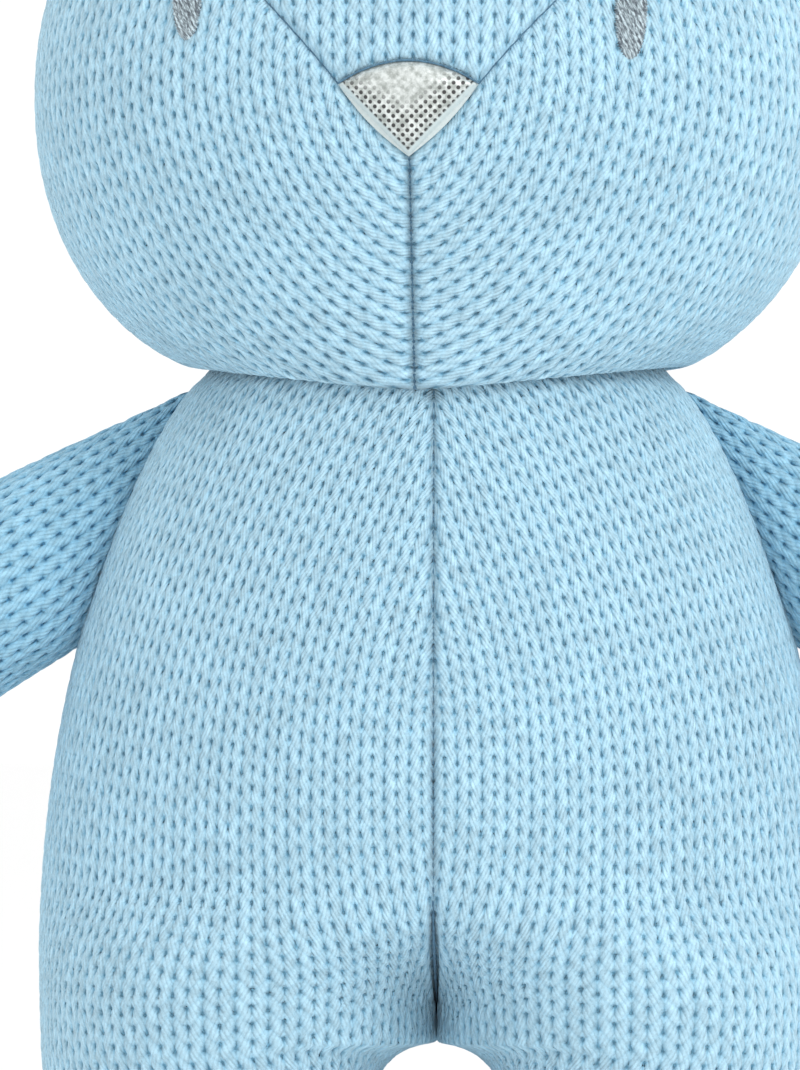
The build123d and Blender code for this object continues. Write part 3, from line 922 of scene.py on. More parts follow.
@dataclass
class Finishes:
    """Every material of the toy, made once."""

    gauge: Gauge
    knit: bpy.types.Material = field(init=False)
    arm_knit: bpy.types.Material = field(init=False)
    foil: bpy.types.Material = field(init=False)
    embroidery: bpy.types.Material = field(init=False)
    thread: bpy.types.Material = field(init=False)
    fill: bpy.types.Material = field(init=False)
    wadding: bpy.types.Material = field(init=False)
    label: bpy.types.Material = field(init=False)

    def __post_init__(self) -> None:
        """Makes the materials."""
        self.knit = KnitFinish().make(self.gauge)
        # the arms' knit is a darker copy of the blue knit: painted shade over the whole arm
        self.arm_knit = KnitFinish(
            "blue_knit_arm_painted_shade", highlit_crest=(0.345, 0.60, 0.755), body=(0.200, 0.448, 0.632),
            shaded_gap=(0.055, 0.190, 0.330)
        ).make(self.gauge)
        self.foil = FoilFinish().make()
        self.embroidery = ThreadFinish(
            "grey_embroidery", (0.56, 0.685, 0.74), (0.12, 0.15, 0.18), metallic=0.25, roughness=0.5,
            satin_pitch=0.62
        ).make()
        self.thread = ThreadFinish("blue_thread", (0.11, 0.24, 0.35), (0.045, 0.11, 0.18)).make()
        self.fill = FillFinish("polyester_fill").make()
        self.wadding = FillFinish("ear_wadding", (0.84, 0.84, 0.81)).make()
        self.label = ThreadFinish(
            "satin_label", (0.88, 0.88, 0.86), (0.70, 0.70, 0.69), roughness=0.45
        ).make()


# ---------------------------------------------------------------------------------------------- the head
@dataclass
class HeadShape:
    """The head: a squared ellipse turned about the X axis, fuller at the chin, on a ball-shaped neck."""

    half_width: float = 60.2
    radius: float = 48.6
    squareness: float = 2.3
    middle: float = 190.2
    chin_line: float = 39.0  # how far forward the jowl stands at its lowest edge
    chin_low: float = 145.5
    pivot: float = 114.649
    seat: float = 49.5

    def fullness(self, z: np.ndarray) -> np.ndarray:
        """How much the jowl deepens the round head at height z, dropping straight from a tangent."""
        low = self.chin_low - self.middle
        angle = math.atan2(low, self.chin_line) + math.acos(self.radius / math.hypot(low, self.chin_line))
        touch_y, touch_h = self.radius * math.cos(angle), self.radius * math.sin(angle)
        h = np.clip(z - self.middle, -self.radius * 0.985, self.radius * 0.985)
        line = touch_y + (h - touch_h) * (touch_y - self.chin_line) / (touch_h - low)
        return np.where(h < touch_h, line / np.sqrt(self.radius**2 - h**2), 1.0)

    def level(self, points: np.ndarray) -> np.ndarray:
        """Below 1 inside the head, 1 on its surface and above 1 outside."""
        y = points[..., 1] / self.fullness(points[..., 2])
        h = points[..., 2] - self.middle
        wide = (np.abs(points[..., 0]) / self.half_width) ** self.squareness
        return wide + (np.hypot(y, h) / self.radius) ** self.squareness

    def normals(self, points: np.ndarray) -> np.ndarray:
        """Outward unit normals from the slope of level."""
        slope = np.zeros_like(points)
        for k in range(3):
            step = np.zeros(3)
            step[k] = 0.05
            slope[..., k] = self.level(points + step) - self.level(points - step)
        return unit(slope)

    def to_chart(self, points: np.ndarray, facing: Facing) -> np.ndarray:
        """Flattens points of the head's front or back into a plane, by their direction from the middle."""
        v = points - [0, 0, self.middle]
        v[..., 1] = v[..., 1] / self.fullness(points[..., 2])
        v = unit(v)
        angle = np.arccos(np.clip(v[..., 1] * facing.value, -1, 1))
        flat = np.hypot(v[..., 0], v[..., 2])
        flat = np.maximum(flat, 1e-9)
        return np.stack([angle * v[..., 0] / flat, angle * v[..., 2] / flat], axis=-1)

    def from_chart(self, chart: np.ndarray, facing: Facing) -> np.ndarray:
        """The points of the head that lie at places of the flattened plane."""
        angle = np.maximum(np.hypot(chart[..., 0], chart[..., 1]), 1e-9)
        dx = np.sin(angle) * chart[..., 0] / angle
        dz = np.sin(angle) * chart[..., 1] / angle
        dy = np.cos(angle) * facing.value
        n = self.squareness
        reach = ((np.abs(dx) / self.half_width) ** n + (np.hypot(dy, dz) / self.radius) ** n) ** (-1 / n)
        z = self.middle + reach * dz
        return stack(reach * dx, reach * dy * self.fullness(z), z)

    def front_point(self, x: np.ndarray, z: np.ndarray) -> np.ndarray:
        """The point of the face straight behind a place in the front view."""
        x, z = np.broadcast_arrays(np.asarray(x, float), np.asarray(z, float))
        inside = np.maximum(
            0.0, 1 - (np.abs(x) / self.half_width) ** self.squareness
        ) ** (1 / self.squareness)
        depth = np.sqrt(np.maximum(0.0, (self.radius * inside) ** 2 - (z - self.middle) ** 2))
        return stack(x, -depth * self.fullness(z), z)

    def neck_edge(self, angles: np.ndarray) -> np.ndarray:
        """The head's lower edge, where it meets the ball-shaped seat, at angles round from the front."""
        def place(lean: np.ndarray) -> np.ndarray:
            """The point on the seat that leans by this much from upright."""
            return stack(
                self.seat * np.sin(lean) * np.sin(angles),
                -self.seat * np.sin(lean) * np.cos(angles),
                self.pivot + self.seat * np.cos(lean),
            )

        low = np.full(angles.shape, math.radians(28.0))
        high = np.full(angles.shape, math.radians(51.4))
        return place(bisect(low, high, lambda lean: self.level(place(lean)) - 1.0))

    def crown_seam(self, angles: np.ndarray, y: float) -> np.ndarray:
        """The seam round the head in an upright plane, at angles up from the +X side."""
        def place(reach: np.ndarray) -> np.ndarray:
            """The point at this distance out from the middle."""
            return stack(
                reach * np.cos(angles), np.full(angles.shape, y), self.middle + reach * np.sin(angles)
            )

        low = np.full(angles.shape, 10.0)
        high = np.full(angles.shape, 90.0)
        return place(bisect(low, high, lambda reach: self.level(place(reach)) - 1.0))


def coons(
    left: np.ndarray, right: np.ndarray, top: np.ndarray, bottom: np.ndarray, rows: int, columns: int
) -> np.ndarray:
    """Fills a four-sided outline with a smooth grid.

    Args:
        left: The first side, top to bottom.
        right: The opposite side, top to bottom.
        top: The upper side, left to right.
        bottom: The lower side, left to right.
        rows: Rows wanted.
        columns: Columns wanted.

    Returns:
        The grid of points in the plane.
    """
    left, right = along_curve(left, rows), along_curve(right, rows)
    top, bottom = along_curve(top, columns), along_curve(bottom, columns)
    b = np.linspace(0, 1, rows)[:, None, None]
    a = np.linspace(0, 1, columns)[None, :, None]
    sides = (1 - a) * left[:, None] + a * right[:, None]
    ends = (1 - b) * top[None] + b * bottom[None]
    corners = (
        (1 - a) * (1 - b) * left[0] + a * (1 - b) * right[0] + (1 - a) * b * left[-1] + a * b * right[-1]
    )
    return sides + ends - corners


@dataclass
class Head:
    """The head's covers, nose, eyes and seam threads."""

    gauge: Gauge
    finishes: Finishes
    shape: HeadShape = field(default_factory=HeadShape)
    crown_y: float = 3.0
    nose_half: float = 10.6
    nose_z: float = 191.2
    nose_tip: float = 180.3
    nose_top: float = 194.7
    forehead_slope: float = 52.0
    # direction from the head's middle to where each forehead seam meets the crown seam
    ear_angle: float = 40.8
    eye_x: float = 33.0
    eye_z: float = 203.8
    eye_x_offset: float = -0.5  # the eyes aren't quite level: the +X one stands nearer the nose
    eye_z_offset: float = -1.5  # and lower
    eye_half_width: float = 2.3
    eye_half_height: float = 7.6
    puff: float = 1.7
    fill_inset: float = 4.2
    turn: float = -4.3  # degrees that the head sits off square on its neck

    # -------- seam lines
    def chin_seam(self) -> np.ndarray:
        """The seam from the nose's tip down to the neck."""
        low = self.shape.neck_edge(np.array([0.0]))[0, 2]
        return self.shape.front_point(0.0, np.linspace(self.nose_tip, low, 60))

    def nose_side(self) -> np.ndarray:
        """The nose's lower left edge, from its tip to its corner."""
        t = np.linspace(0, 1, 20)
        bow = 0.5 * np.sin(math.pi * t)
        return self.shape.front_point(
            self.nose_half * t + bow, self.nose_tip + (self.nose_z - self.nose_tip) * t - bow
        )

    def nose_arch(self) -> np.ndarray:
        """The nose's upper edge, from its right corner to its left."""
        t = np.linspace(-1, 1, 41)
        return self.shape.front_point(
            self.nose_half * t, self.nose_z + (self.nose_top - self.nose_z) * (1 - t**2)
        )

    def forehead_seam(self) -> np.ndarray:
        """The seam from the nose's left corner up to the crown seam."""
        start = self.shape.front_point(self.nose_half, self.nose_z)
        end = self.shape.crown_seam(np.array([math.radians(self.ear_angle)]), self.crown_y)[0]
        chart = self.shape.to_chart(np.stack([start, end]), Facing.FRONT)
        slope = math.tan(math.radians(self.forehead_slope))
        x = np.linspace(self.nose_half, 41.0, 50)
        seen = self.shape.front_point(
            x, self.nose_z + (x - self.nose_half) * slope * (1 - 0.0016 * (x - self.nose_half))
        )
        curve = self.shape.to_chart(seen, Facing.FRONT)
        # the last stretch eases onto the end of the crown seam
        share = ease(np.linspace(0, 1, 50))[:, None]
        return self.shape.from_chart(curve + share * (chart[1] - curve[-1]), Facing.FRONT)

    def side_end(self) -> float:
        """The angle round the neck at which the crown seam reaches it."""
        angles = np.radians(np.linspace(88, 100, 121))
        edge = self.shape.neck_edge(angles)
        return float(np.interp(self.crown_y, edge[:, 1], angles))

    def crown(self, start: float, end: float) -> np.ndarray:
        """The crown seam between two angles in degrees."""
        return self.shape.crown_seam(np.radians(np.linspace(start, end, 120)), self.crown_y)

    def neck_angle(self) -> float:
        """The direction from the head's middle to where the crown seam reaches the neck, in degrees."""
        end = self.shape.neck_edge(np.array([self.side_end()]))[0]
        return math.degrees(math.atan2(end[2] - self.shape.middle, end[0]))

    # -------- panel grids
    def patch(self, outline: Sequence[np.ndarray], facing: Facing) -> Callable[[int, int], np.ndarray]:
        """A grid maker for the panel inside four seam lines.

        Args:
            outline: Left, right, top and bottom seam lines.
            facing: Which way the panel faces.

        Returns:
            A function from rows and columns to points.
        """
        chart = [self.shape.to_chart(side.copy(), facing) for side in outline]
        return lambda rows, columns: self.shape.from_chart(coons(*chart, rows, columns), facing)

    def face_along(self, points: np.ndarray, normal: np.ndarray) -> np.ndarray:
        """The wales of a face panel: upright at the cheek, turning in towards the seam under the nose."""
        x = np.abs(points[..., 0])
        below = np.maximum(0.0, 197.0 - points[..., 2])
        lean = np.arctan(below / (1.55 * x + 14.0))
        return stack(np.sin(lean), 0.0, np.cos(lean))

    def upright(self, points: np.ndarray, normal: np.ndarray) -> np.ndarray:
        """Wales that run straight up, and over the crown from front to back."""
        over = ease((normal[..., 2] - 0.5) / 0.4)
        return stack(0.0 * over, -np.sign(normal[..., 1]) * over, 1.0 - 0.8 * over)

    def build(self) -> None:
        """Makes every piece of the head."""
        knit = self.finishes.knit
        face_outline = (
            self.chin_seam(),
            self.crown(self.ear_angle, self.neck_angle()),
            np.concatenate([self.nose_side()[:-1], self.forehead_seam()]),
            self.shape.neck_edge(np.linspace(0, self.side_end(), 80)),
        )
        back_outline = (
            self.back_seam(),
            self.crown(self.ear_angle, self.neck_angle()),
            self.crown(90.0, self.ear_angle),
            self.shape.neck_edge(np.linspace(math.pi, self.side_end(), 80)),
        )
        for side in Side:
            face = Panel(
                f"face_knit_{side.word}", self.patch(face_outline, Facing.FRONT), self.face_along,
                self.shape.normals,
                seams=(0.9, 0.5, 0.55, 1.0), seed=1.0 + side.value * 0.4,
            )
            self.finish(face.build(self.gauge, knit, side), "blue_knit", f"face_panel_{side.word}")
            back = Panel(
                f"head_back_knit_{side.word}", self.patch(back_outline, Facing.BACK), self.upright,
                self.shape.normals,
                seams=(0.8, 0.5, 0.5, 1.0), seed=2.0 + side.value * 0.3,
            )
            self.finish(back.build(self.gauge, knit, side), "blue_knit", f"head_back_panel_{side.word}")
        seam = self.forehead_seam()[::-1]
        forehead = Panel(
            "forehead_knit",
            self.patch(
                (
                    seam * [-1, 1, 1], seam, self.crown(180.0 - self.ear_angle, self.ear_angle),
                    self.nose_arch()
                ),
                Facing.FRONT,
            ),
            self.upright, self.shape.normals, seams=(0.55, 0.55, 0.5, 0.4), seed=3.1,
        )
        self.finish(forehead.build(self.gauge, knit), "blue_knit", "forehead_panel")
        self.build_nose()
        for side in Side:
            self.build_eye(side)
        self.build_threads()
        self.build_fill()

    def build_fill(self) -> None:
        """The filling: the head's form drawn in under its covers, hollowed where it sits on the neck."""
        bpy.ops.object.select_all(action="DESELECT")
        bpy.ops.mesh.primitive_uv_sphere_add(segments=64, ring_count=40, radius=1.0, location=(0, 0, 0))
        piece = bpy.context.object
        piece.name = "head_fill"
        mesh = piece.data
        spots = np.zeros(len(mesh.vertices) * 3)
        mesh.vertices.foreach_get("co", spots)
        way = unit(spots.reshape(-1, 3))
        n = self.shape.squareness
        reach = (
            (np.abs(way[:, 0]) / self.shape.half_width) ** n + (
                np.hypot(way[:, 1], way[:, 2]) / self.shape.radius
            ) ** n
        ) ** (-1 / n)
        points = way * (reach - self.fill_inset)[:, None] + [0, 0, self.shape.middle]
        points[:, 1] *= self.shape.fullness(points[:, 2])
        centre = np.array([0.0, 0.0, self.shape.pivot])
        away = points - centre
        distance = np.linalg.norm(away, axis=1, keepdims=True)
        points = centre + away * np.maximum(1.0, (self.shape.seat + 2.6) / distance)
        mesh.vertices.foreach_set("co", (points * MM).ravel())
        mesh.polygons.foreach_set("use_smooth", np.ones(len(mesh.polygons), dtype=bool))
        mesh.update()
        mesh.materials.append(self.finishes.fill)
        self.finish(piece, "polyester_fill", "head_stuffing")

    def back_seam(self) -> np.ndarray:
        """The seam down the middle of the back of the head."""
        top = self.shape.crown_seam(np.array([math.pi / 2]), self.crown_y)[0]
        low = self.shape.neck_edge(np.array([math.pi]))[0]
        chart = self.shape.to_chart(np.stack([top, low]), Facing.BACK)
        return self.shape.from_chart(along_curve(chart, 80), Facing.BACK)

    def finish(self, piece: bpy.types.Object, slot: str, *nodes: str) -> None:
        """Turns a piece with the head, lets it ride there and hides the nodes it replaces."""
        piece.data.transform(Matrix.Rotation(math.radians(self.turn), 4, "Z"))
        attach(piece, "head")
        if nodes:
            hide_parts(*nodes)

    def raised(self, name: str, points: np.ndarray, lift: np.ndarray, uv: np.ndarray, rim: np.ndarray,
               material: bpy.types.Material) -> bpy.types.Object:
        """A closed pad raised off the head.

        Args:
            name: The piece's name.
            points: Its grid on the head's surface.
            lift: How far each point stands out.
            uv: Millimetres across and down, at each point.
            rim: 1 at the rim and 0 inside.
            material: Its material.

        Returns:
            The piece.
        """
        normal = self.shape.normals(points)
        outer = points + normal * lift[..., None]
        inner = (points - normal * 1.6)[::SHELL_STEP, ::SHELL_STEP]
        if np.sum(np.cross(np.gradient(points, axis=0), np.gradient(points, axis=1)) * normal) < 0:
            outer, inner, uv, rim = outer[:, ::-1], inner[:, ::-1], uv[:, ::-1], rim[:, ::-1]
        mesh = shell_mesh(name, outer, inner, SHELL_STEP)
        every = (slice(None, None, SHELL_STEP), slice(None, None, SHELL_STEP))
        u, v = uv[..., 0], uv[..., 1]
        put_maps(
            mesh,
            np.concatenate([u.ravel(), u[every].ravel()]),
            np.concatenate([v.ravel(), v[every].ravel()]),
            np.concatenate([rim.ravel(), rim[every].ravel()]),
        )
        log.info("%s: %d by %d grid", name, *outer.shape[:2])
        return place_object(name, mesh, material)

    def build_nose(self) -> None:
        """The padded foil nose: three-sided, plump in the middle and pulled in at its rim."""
        side = self.nose_side()[::-1]
        outline = (
            side * [-1, 1, 1], side, self.nose_arch(),
            np.repeat(side[-1:], 2, axis=0) + [[-0.01, 0, 0], [0.01, 0, 0]]
        )
        points = self.patch(outline, Facing.FRONT)(81, 97)
        x, z = points[..., 0], points[..., 2]
        down = (self.nose_z - z) / (self.nose_z - self.nose_tip)
        side_gap = (self.nose_half * (1 - down) - np.abs(x)) * 0.72
        arch_gap = self.nose_z + (self.nose_top - self.nose_z) * (1 - (x / self.nose_half) ** 2) - z
        inward = np.maximum(0.0, np.minimum(side_gap, arch_gap))
        lift = -0.5 + self.puff * (1 - np.exp(-inward / 1.1)) + 0.35 * ease(inward / 4.0)
        rim = np.exp(-np.maximum(side_gap, 0.0) / 0.75) * (side_gap < arch_gap + 1.5)
        piece = self.raised(
            "foil_nose", points, lift, np.stack([x, self.nose_top - z], axis=-1) * 1.0, rim,
            self.finishes.foil
        )
        self.finish(piece, "silver_foil_fabric", "nose_patch")
        arch = self.nose_arch()
        line = thread_tube(
            "nose_arch_line", arch - self.shape.normals(arch) * 0.1, 0.15, self.finishes.thread
        )
        self.finish(line, "blue_thread")

    def build_eye(self, side: Side) -> None:
        """One eye: a tall pad of slanted satin stitches that narrows at both ends."""
        b = np.linspace(-1, 1, 113)[:, None]
        a = np.linspace(-1, 1, 49)[None, :]
        wide = self.eye_half_width * np.sqrt(np.maximum(0.0004, 1 - np.abs(b) ** 2.3))
        middle_x = self.eye_x + self.eye_x_offset * side.value
        x = middle_x + wide * a
        z = self.eye_z + self.eye_z_offset * side.value - self.eye_half_height * b + 0 * a
        ragged = 0.16 * np.sin(z * 15.0) * np.abs(a) ** 6
        points = self.shape.front_point(side.value * (x + ragged), z)
        edge = np.sqrt(np.maximum(0.0, (1 - a**2) * (1 - b**2)))
        lift = 0.1 + 0.95 * np.minimum(1.0, edge * 1.9) ** 0.6
        lift = lift + 0.10 * np.sin((z + 0.55 * x) * math.pi * 2 / 0.84) * ease(edge * 3)
        uv = np.stack([side.value * (x - middle_x), z + 0 * x], axis=-1)
        piece = self.raised(
            f"stitched_eye_{side.word}", points, lift, uv, 1 - np.minimum(1.0, edge * 2),
            self.finishes.embroidery
        )
        self.finish(piece, "grey_embroidery", f"eye_embroidery_{side.word}")

    def build_threads(self) -> None:
        """The sunk threads of the chin and forehead seams."""
        chin = along_curve(self.chin_seam(), 200)
        sunk = 0.9 * (
            self.gauge.seam_sink + self.gauge.seam_pull
        ) + 0.14 + 0.22 * np.sin(np.arange(200) * 1.3)
        piece = thread_tube(
            "chin_seam_line", chin - self.shape.normals(chin) * sunk[:, None], 0.27, self.finishes.thread
        )
        self.finish(piece, "blue_thread", "chin_seam_thread")
        for side in Side:
            seam = self.forehead_seam()[:44] * [side.value, 1, 1]
            depth = 0.55 * (self.gauge.seam_sink + self.gauge.seam_pull) + 0.06
            piece = thread_tube(
                f"forehead_seam_line_{side.word}", seam - self.shape.normals(seam) * depth, 0.17,
                self.finishes.thread
            )
            self.finish(piece, "blue_thread")


def thread_tube(
    name: str, path: np.ndarray, radius: float, material: bpy.types.Material
) -> bpy.types.Object:
    """A thin twisted thread along a path, closed at both ends.

    Args:
        name: The piece's name.
        path: Points in millimetres.
        radius: The thread's radius in millimetres.
        material: Its material.

    Returns:
        The piece.
    """
    length = float(np.sum(np.linalg.norm(np.diff(path, axis=0), axis=1)))
    count = max(8, int(length / 0.45))
    path = along_curve(path, count)
    tangent = unit(np.gradient(path, axis=0))
    side = unit(np.cross(tangent, np.array([0.0, 0.3, 1.0]) + 0 * tangent))
    if np.min(np.linalg.norm(np.cross(tangent, [0.0, 0.3, 1.0]), axis=1)) < 0.15:
        side = unit(np.cross(tangent, np.array([1.0, 0.0, 0.0]) + 0 * tangent))
    up = np.cross(side, tangent)
    sections = 8
    rings = []
    for k in range(sections):
        angle = 2 * math.pi * k / sections
        swell = radius * (1.0 + 0.22 * np.cos(2 * angle - np.arange(count) * 0.9))
        rings.append(
            path + side * (swell * math.cos(angle))[:, None] + up * (swell * math.sin(angle))[:, None]
        )
    grid = np.stack(rings, axis=1)
    vertices = np.concatenate([grid.reshape(-1, 3), path[:1], path[-1:]]) * MM
    faces: list[tuple[int, ...]] = []
    for i in range(count - 1):
        for k in range(sections):
            j = (k + 1) % sections
            faces.append(
                (i * sections + k, i * sections + j, (i + 1) * sections + j, (i + 1) * sections + k)
            )
    first, last = count * sections, count * sections + 1
    for k in range(sections):
        j = (k + 1) % sections
        faces.append((first, j, k))
        faces.append((last, (count - 1) * sections + k, (count - 1) * sections + j))
    mesh = bpy.data.meshes.new(name)
    mesh.from_pydata(vertices.tolist(), [], faces)
    mesh.polygons.foreach_set("use_smooth", np.ones(len(mesh.polygons), dtype=bool))
    mesh.update()
    outward = vertices[: count * sections] - np.repeat(path * MM, sections, axis=0)
    normals = np.zeros(len(mesh.vertices) * 3)
    mesh.vertices.foreach_get("normal", normals)
    if np.sum(normals.reshape(-1, 3)[: count * sections] * outward) < 0:
        mesh.flip_normals()
    log.info("%s: %.0f mm of thread", name, length)
    return place_object(name, mesh, material)


# ---------------------------------------------------------------------------------------------- body and legs
@dataclass
class BodyShape:
    """Half of the body and one leg as one skin: rows of half-ellipses from the neck to the sole."""

    neck_z: float = 147.0
    neck_radius: float = 36.0
    dome_z: float = 114.649
    dome_radius: float = 48.4
    belly_z: float = 62.0
    belly_half: float = 59.8
    belly_depth: float = 42.0
    fullness: float = 0.82
    fork_top: float = 74.0  # where the lower belly starts to tuck under
    crotch: float = 48.0
    arch_radius: float = 10.5
    toe_round: float = 7.0
    dome_length: float = 13.0

    def half_width(self, z: np.ndarray) -> np.ndarray:
        """Half the width of the body, or how far out the leg reaches."""
        share = np.clip((z - self.belly_z) / (self.neck_z - self.belly_z), 0, 1)
        body = self.neck_radius + (self.belly_half - self.neck_radius) * (1 - share**2) ** self.fullness
        leg = np.interp(z, [0, 8, 18, 32, 46, 62], [54.4, 55.6, 56.8, 58.2, 59.4, 59.8])
        return np.where(z > self.belly_z, body, leg)

    def half_depth(self, z: np.ndarray) -> np.ndarray:
        """Half the depth of the body or leg."""
        share = np.clip((z - self.belly_z) / (self.neck_z - self.belly_z), 0, 1)
        body = self.neck_radius + (self.belly_depth - self.neck_radius) * (1 - share**2) ** self.fullness
        t = np.clip((self.belly_z - z) / self.belly_z, 0, 1)
        leg = 27.0 + 15.0 * (0.5 + 0.5 * np.cos(math.pi * np.clip(t / 0.92, 0, 1)))
        return np.where(z > self.belly_z, body, leg)

    def grid(self, rows: int, columns: int, facing: Facing, inset: float = 0.0) -> np.ndarray:
        """The skin of one quarter: the left side's front or back.

        Args:
            rows: Rows from the neck to the sole.
            columns: Columns from the middle seam to the side seam.
            facing: Front or back.
            inset: How far to draw the skin in.

        Returns:
            The points.
        """
        upright = self.neck_z - self.toe_round
        corner = self.toe_round * math.pi / 2
        sole = 17.0
        total = self.dome_length + upright + corner + sole
        s = np.linspace(0, total, rows)
        on_dome = np.clip(self.dome_length - s, 0, None)
        lean = math.asin(self.neck_radius / self.dome_radius) - on_dome / self.dome_radius
        walk = np.clip(s - self.dome_length, 0, upright)
        turn = np.clip((s - self.dome_length - upright) / corner, 0, 1) * math.pi / 2
        under = np.clip((s - self.dome_length - upright - corner) / sole, 0, 1)
        z = self.neck_z - walk - self.toe_round * np.sin(turn)
        dome = on_dome > 0
        z = np.where(dome, self.dome_z + self.dome_radius * np.cos(lean), z)
        wide = np.where(dome, self.dome_radius * np.sin(lean), self.half_width(z)) - inset
        deep = np.where(dome, self.dome_radius * np.sin(lean), self.half_depth(z)) - inset
        part = ease((self.fork_top - z) / (self.fork_top - self.crotch - inset))
        fork = np.sin(part * math.pi / 2)
        crotch = self.crotch + inset
        below = z < crotch
        drop = np.clip((crotch - z) / self.arch_radius, 0, 1)
        inner = self.arch_radius * np.sqrt(
            np.clip(1 - (1 - drop) ** 2, 0, 1)
        ) + 0.055 * np.clip(38 - z, 0, None)
        inner = np.where(below, inner + inset * ease(drop), 0.0)
        middle = wide * fork / (1 + fork)
        radius = wide / (1 + fork)
        pulled = self.toe_round * (1 - np.cos(turn))
        radius, deep = radius - pulled, deep - pulled
        inner = inner * (1 - under)
        middle = middle + (0.5 * (10.0 + wide) - middle) * ease(turn / (math.pi / 2))
        radius = np.minimum(
            radius, 0.5 * (wide - 10.0) + (radius - 0.5 * (wide - 10.0)) * (1 - ease(turn / 1.5))
        )
        radius = radius * (1 - 0.72 * under)
        deep = deep * (1 - under)
        start = -part * math.pi / 2
        a = np.linspace(0, 1, columns)[None, :]
        theta = start[:, None] + (math.pi / 2 - start[:, None]) * a
        x = middle[:, None] + radius[:, None] * np.sin(theta)
        # the gap between the legs opens on their inner sides alone
        x = x + inner[:, None] * ((1 - np.sin(theta)) / 2) ** 3.5
        y = facing.value * deep[:, None] * np.cos(theta)
        return stack(x, y, z[:, None])

    def normals(self, points: np.ndarray) -> np.ndarray:
        """Outward normals of a quarter's grid, square to the planes that its neighbours mirror it in."""
        centre = np.stack([
            np.where(points[..., 2] > self.crotch, 12.0, 33.0), 0 * points[..., 1],
            np.clip(points[..., 2], 14.0, 140.0)
        ], axis=-1)
        normal = grid_normals(points, centre)
        open_seam = points[:, 0, 0] < 1e-6
        normal[open_seam, 0, 0] = 0.0
        normal[~open_seam, 0, 1] = 0.0
        normal[:, -1, 1] = np.where(points[:, -1, 2] > 0.5, 0.0, normal[:, -1, 1])
        return unit(normal)


@dataclass
class Body:
    """The four body-and-leg covers with their seam threads."""

    gauge: Gauge
    finishes: Finishes
    shape: BodyShape = field(default_factory=BodyShape)
    hip_y: float = -16.0
    bend_start: tuple[float, float] = (0.0, 53.0)  # X and Z where the cover starts to follow the leg
    bend_end: tuple[float, float] = (8.9, 28.0)
    fill_inset: float = 4.2

    def along(self, points: np.ndarray, normal: np.ndarray) -> np.ndarray:
        """The wales fan out from the neck, stand upright at the belly and draw in above the fork."""
        z = points[..., 2]
        share = np.clip(np.abs(points[..., 0]) / self.shape.half_width(z), 0, 1)
        middle = np.interp(z, [0, 36, 54, 70, 86, 100, 114, 150], [0, -6, -19, -11, -3, 4, 20, 25])
        outer = np.interp(z, [0, 30, 60, 80, 100, 115, 134, 147], [-2, -4, 0, 6, 13, 17, 26, 32])
        lean = np.radians(middle + (outer - middle) * share**1.2)
        up = stack(-np.sin(lean), 0.0, np.cos(lean))
        flat = ease((np.abs(normal[..., 2]) - 0.75) / 0.2)[..., None]
        inward = stack(0.0, np.sign(points[..., 1]) + 0 * z, 0.0)
        return up * (1 - flat) + inward * flat

    def gather(self, points: np.ndarray) -> np.ndarray:
        """The wales stand closer together at the neck."""
        return 1.0 - 0.27 * ease((points[..., 2] - 104.0) / 42.0)

    def build(self) -> None:
        """Makes the four covers and the two seam threads."""
        for side in Side:
            for facing in Facing:
                name = f"body_knit_{facing.word}_{side.word}"
                panel = Panel(
                    name,
                    lambda rows, columns, facing=facing: self.shape.grid(rows, columns, facing),
                    self.along, self.shape.normals, self.gather,
                    seams=(0.75, 0.6, 0.0, 0.0), seed=4.0 + side.value * 0.5 + facing.value, lump=0.35,
                )
                piece = panel.build(self.gauge, self.finishes.knit, side)
                self.bend(piece, side)
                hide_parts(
                    f"torso_{facing.word}_panel_{side.word}", f"leg_{facing.word}_panel_{side.word}"
                )
        for side in Side:
            self.build_fill(side)
        for facing, node in ((Facing.FRONT, "belly_seam"), (Facing.BACK, "back_seam")):
            line = self.shape.grid(400, 3, facing)[:, 0]
            line = line[(line[:, 2] > self.shape.crotch + 5.0) & (line[:, 2] < self.shape.neck_z)]
            dip = 0.75 * (
                self.gauge.seam_sink + self.gauge.seam_pull
            ) + 0.2 + 0.2 * np.sin(np.arange(len(line)) * 1.5)
            line[:, 1] -= facing.value * dip
            piece = thread_tube(f"{node}_line", line, 0.2, self.finishes.thread)
            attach(piece, "torso")
            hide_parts(f"{node}_thread")

    def build_fill(self, side: Side) -> None:
        """The filling of one half of the body and its leg.

        Args:
            side: Which half.
        """
        rings = [self.shape.grid(121, 25, facing, inset=self.fill_inset) for facing in Facing]
        grid = np.concatenate([rings[0], rings[1][:, -2::-1]], axis=1)
        grid[..., 0] = np.maximum(grid[..., 0], 0.3) * side.value
        grid[..., 2] = np.clip(grid[..., 2], self.fill_inset, self.shape.neck_z + 4.0)
        piece = closed_tube(f"body_fill_{side.word}", grid, self.finishes.fill)
        self.bend(piece, side)
        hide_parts("torso_stuffing", f"leg_stuffing_{side.word}")

    def bend(self, piece: bpy.types.Object, side: Side) -> None:
        """Bakes a piece's transform into its mesh."""
        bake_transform(piece)


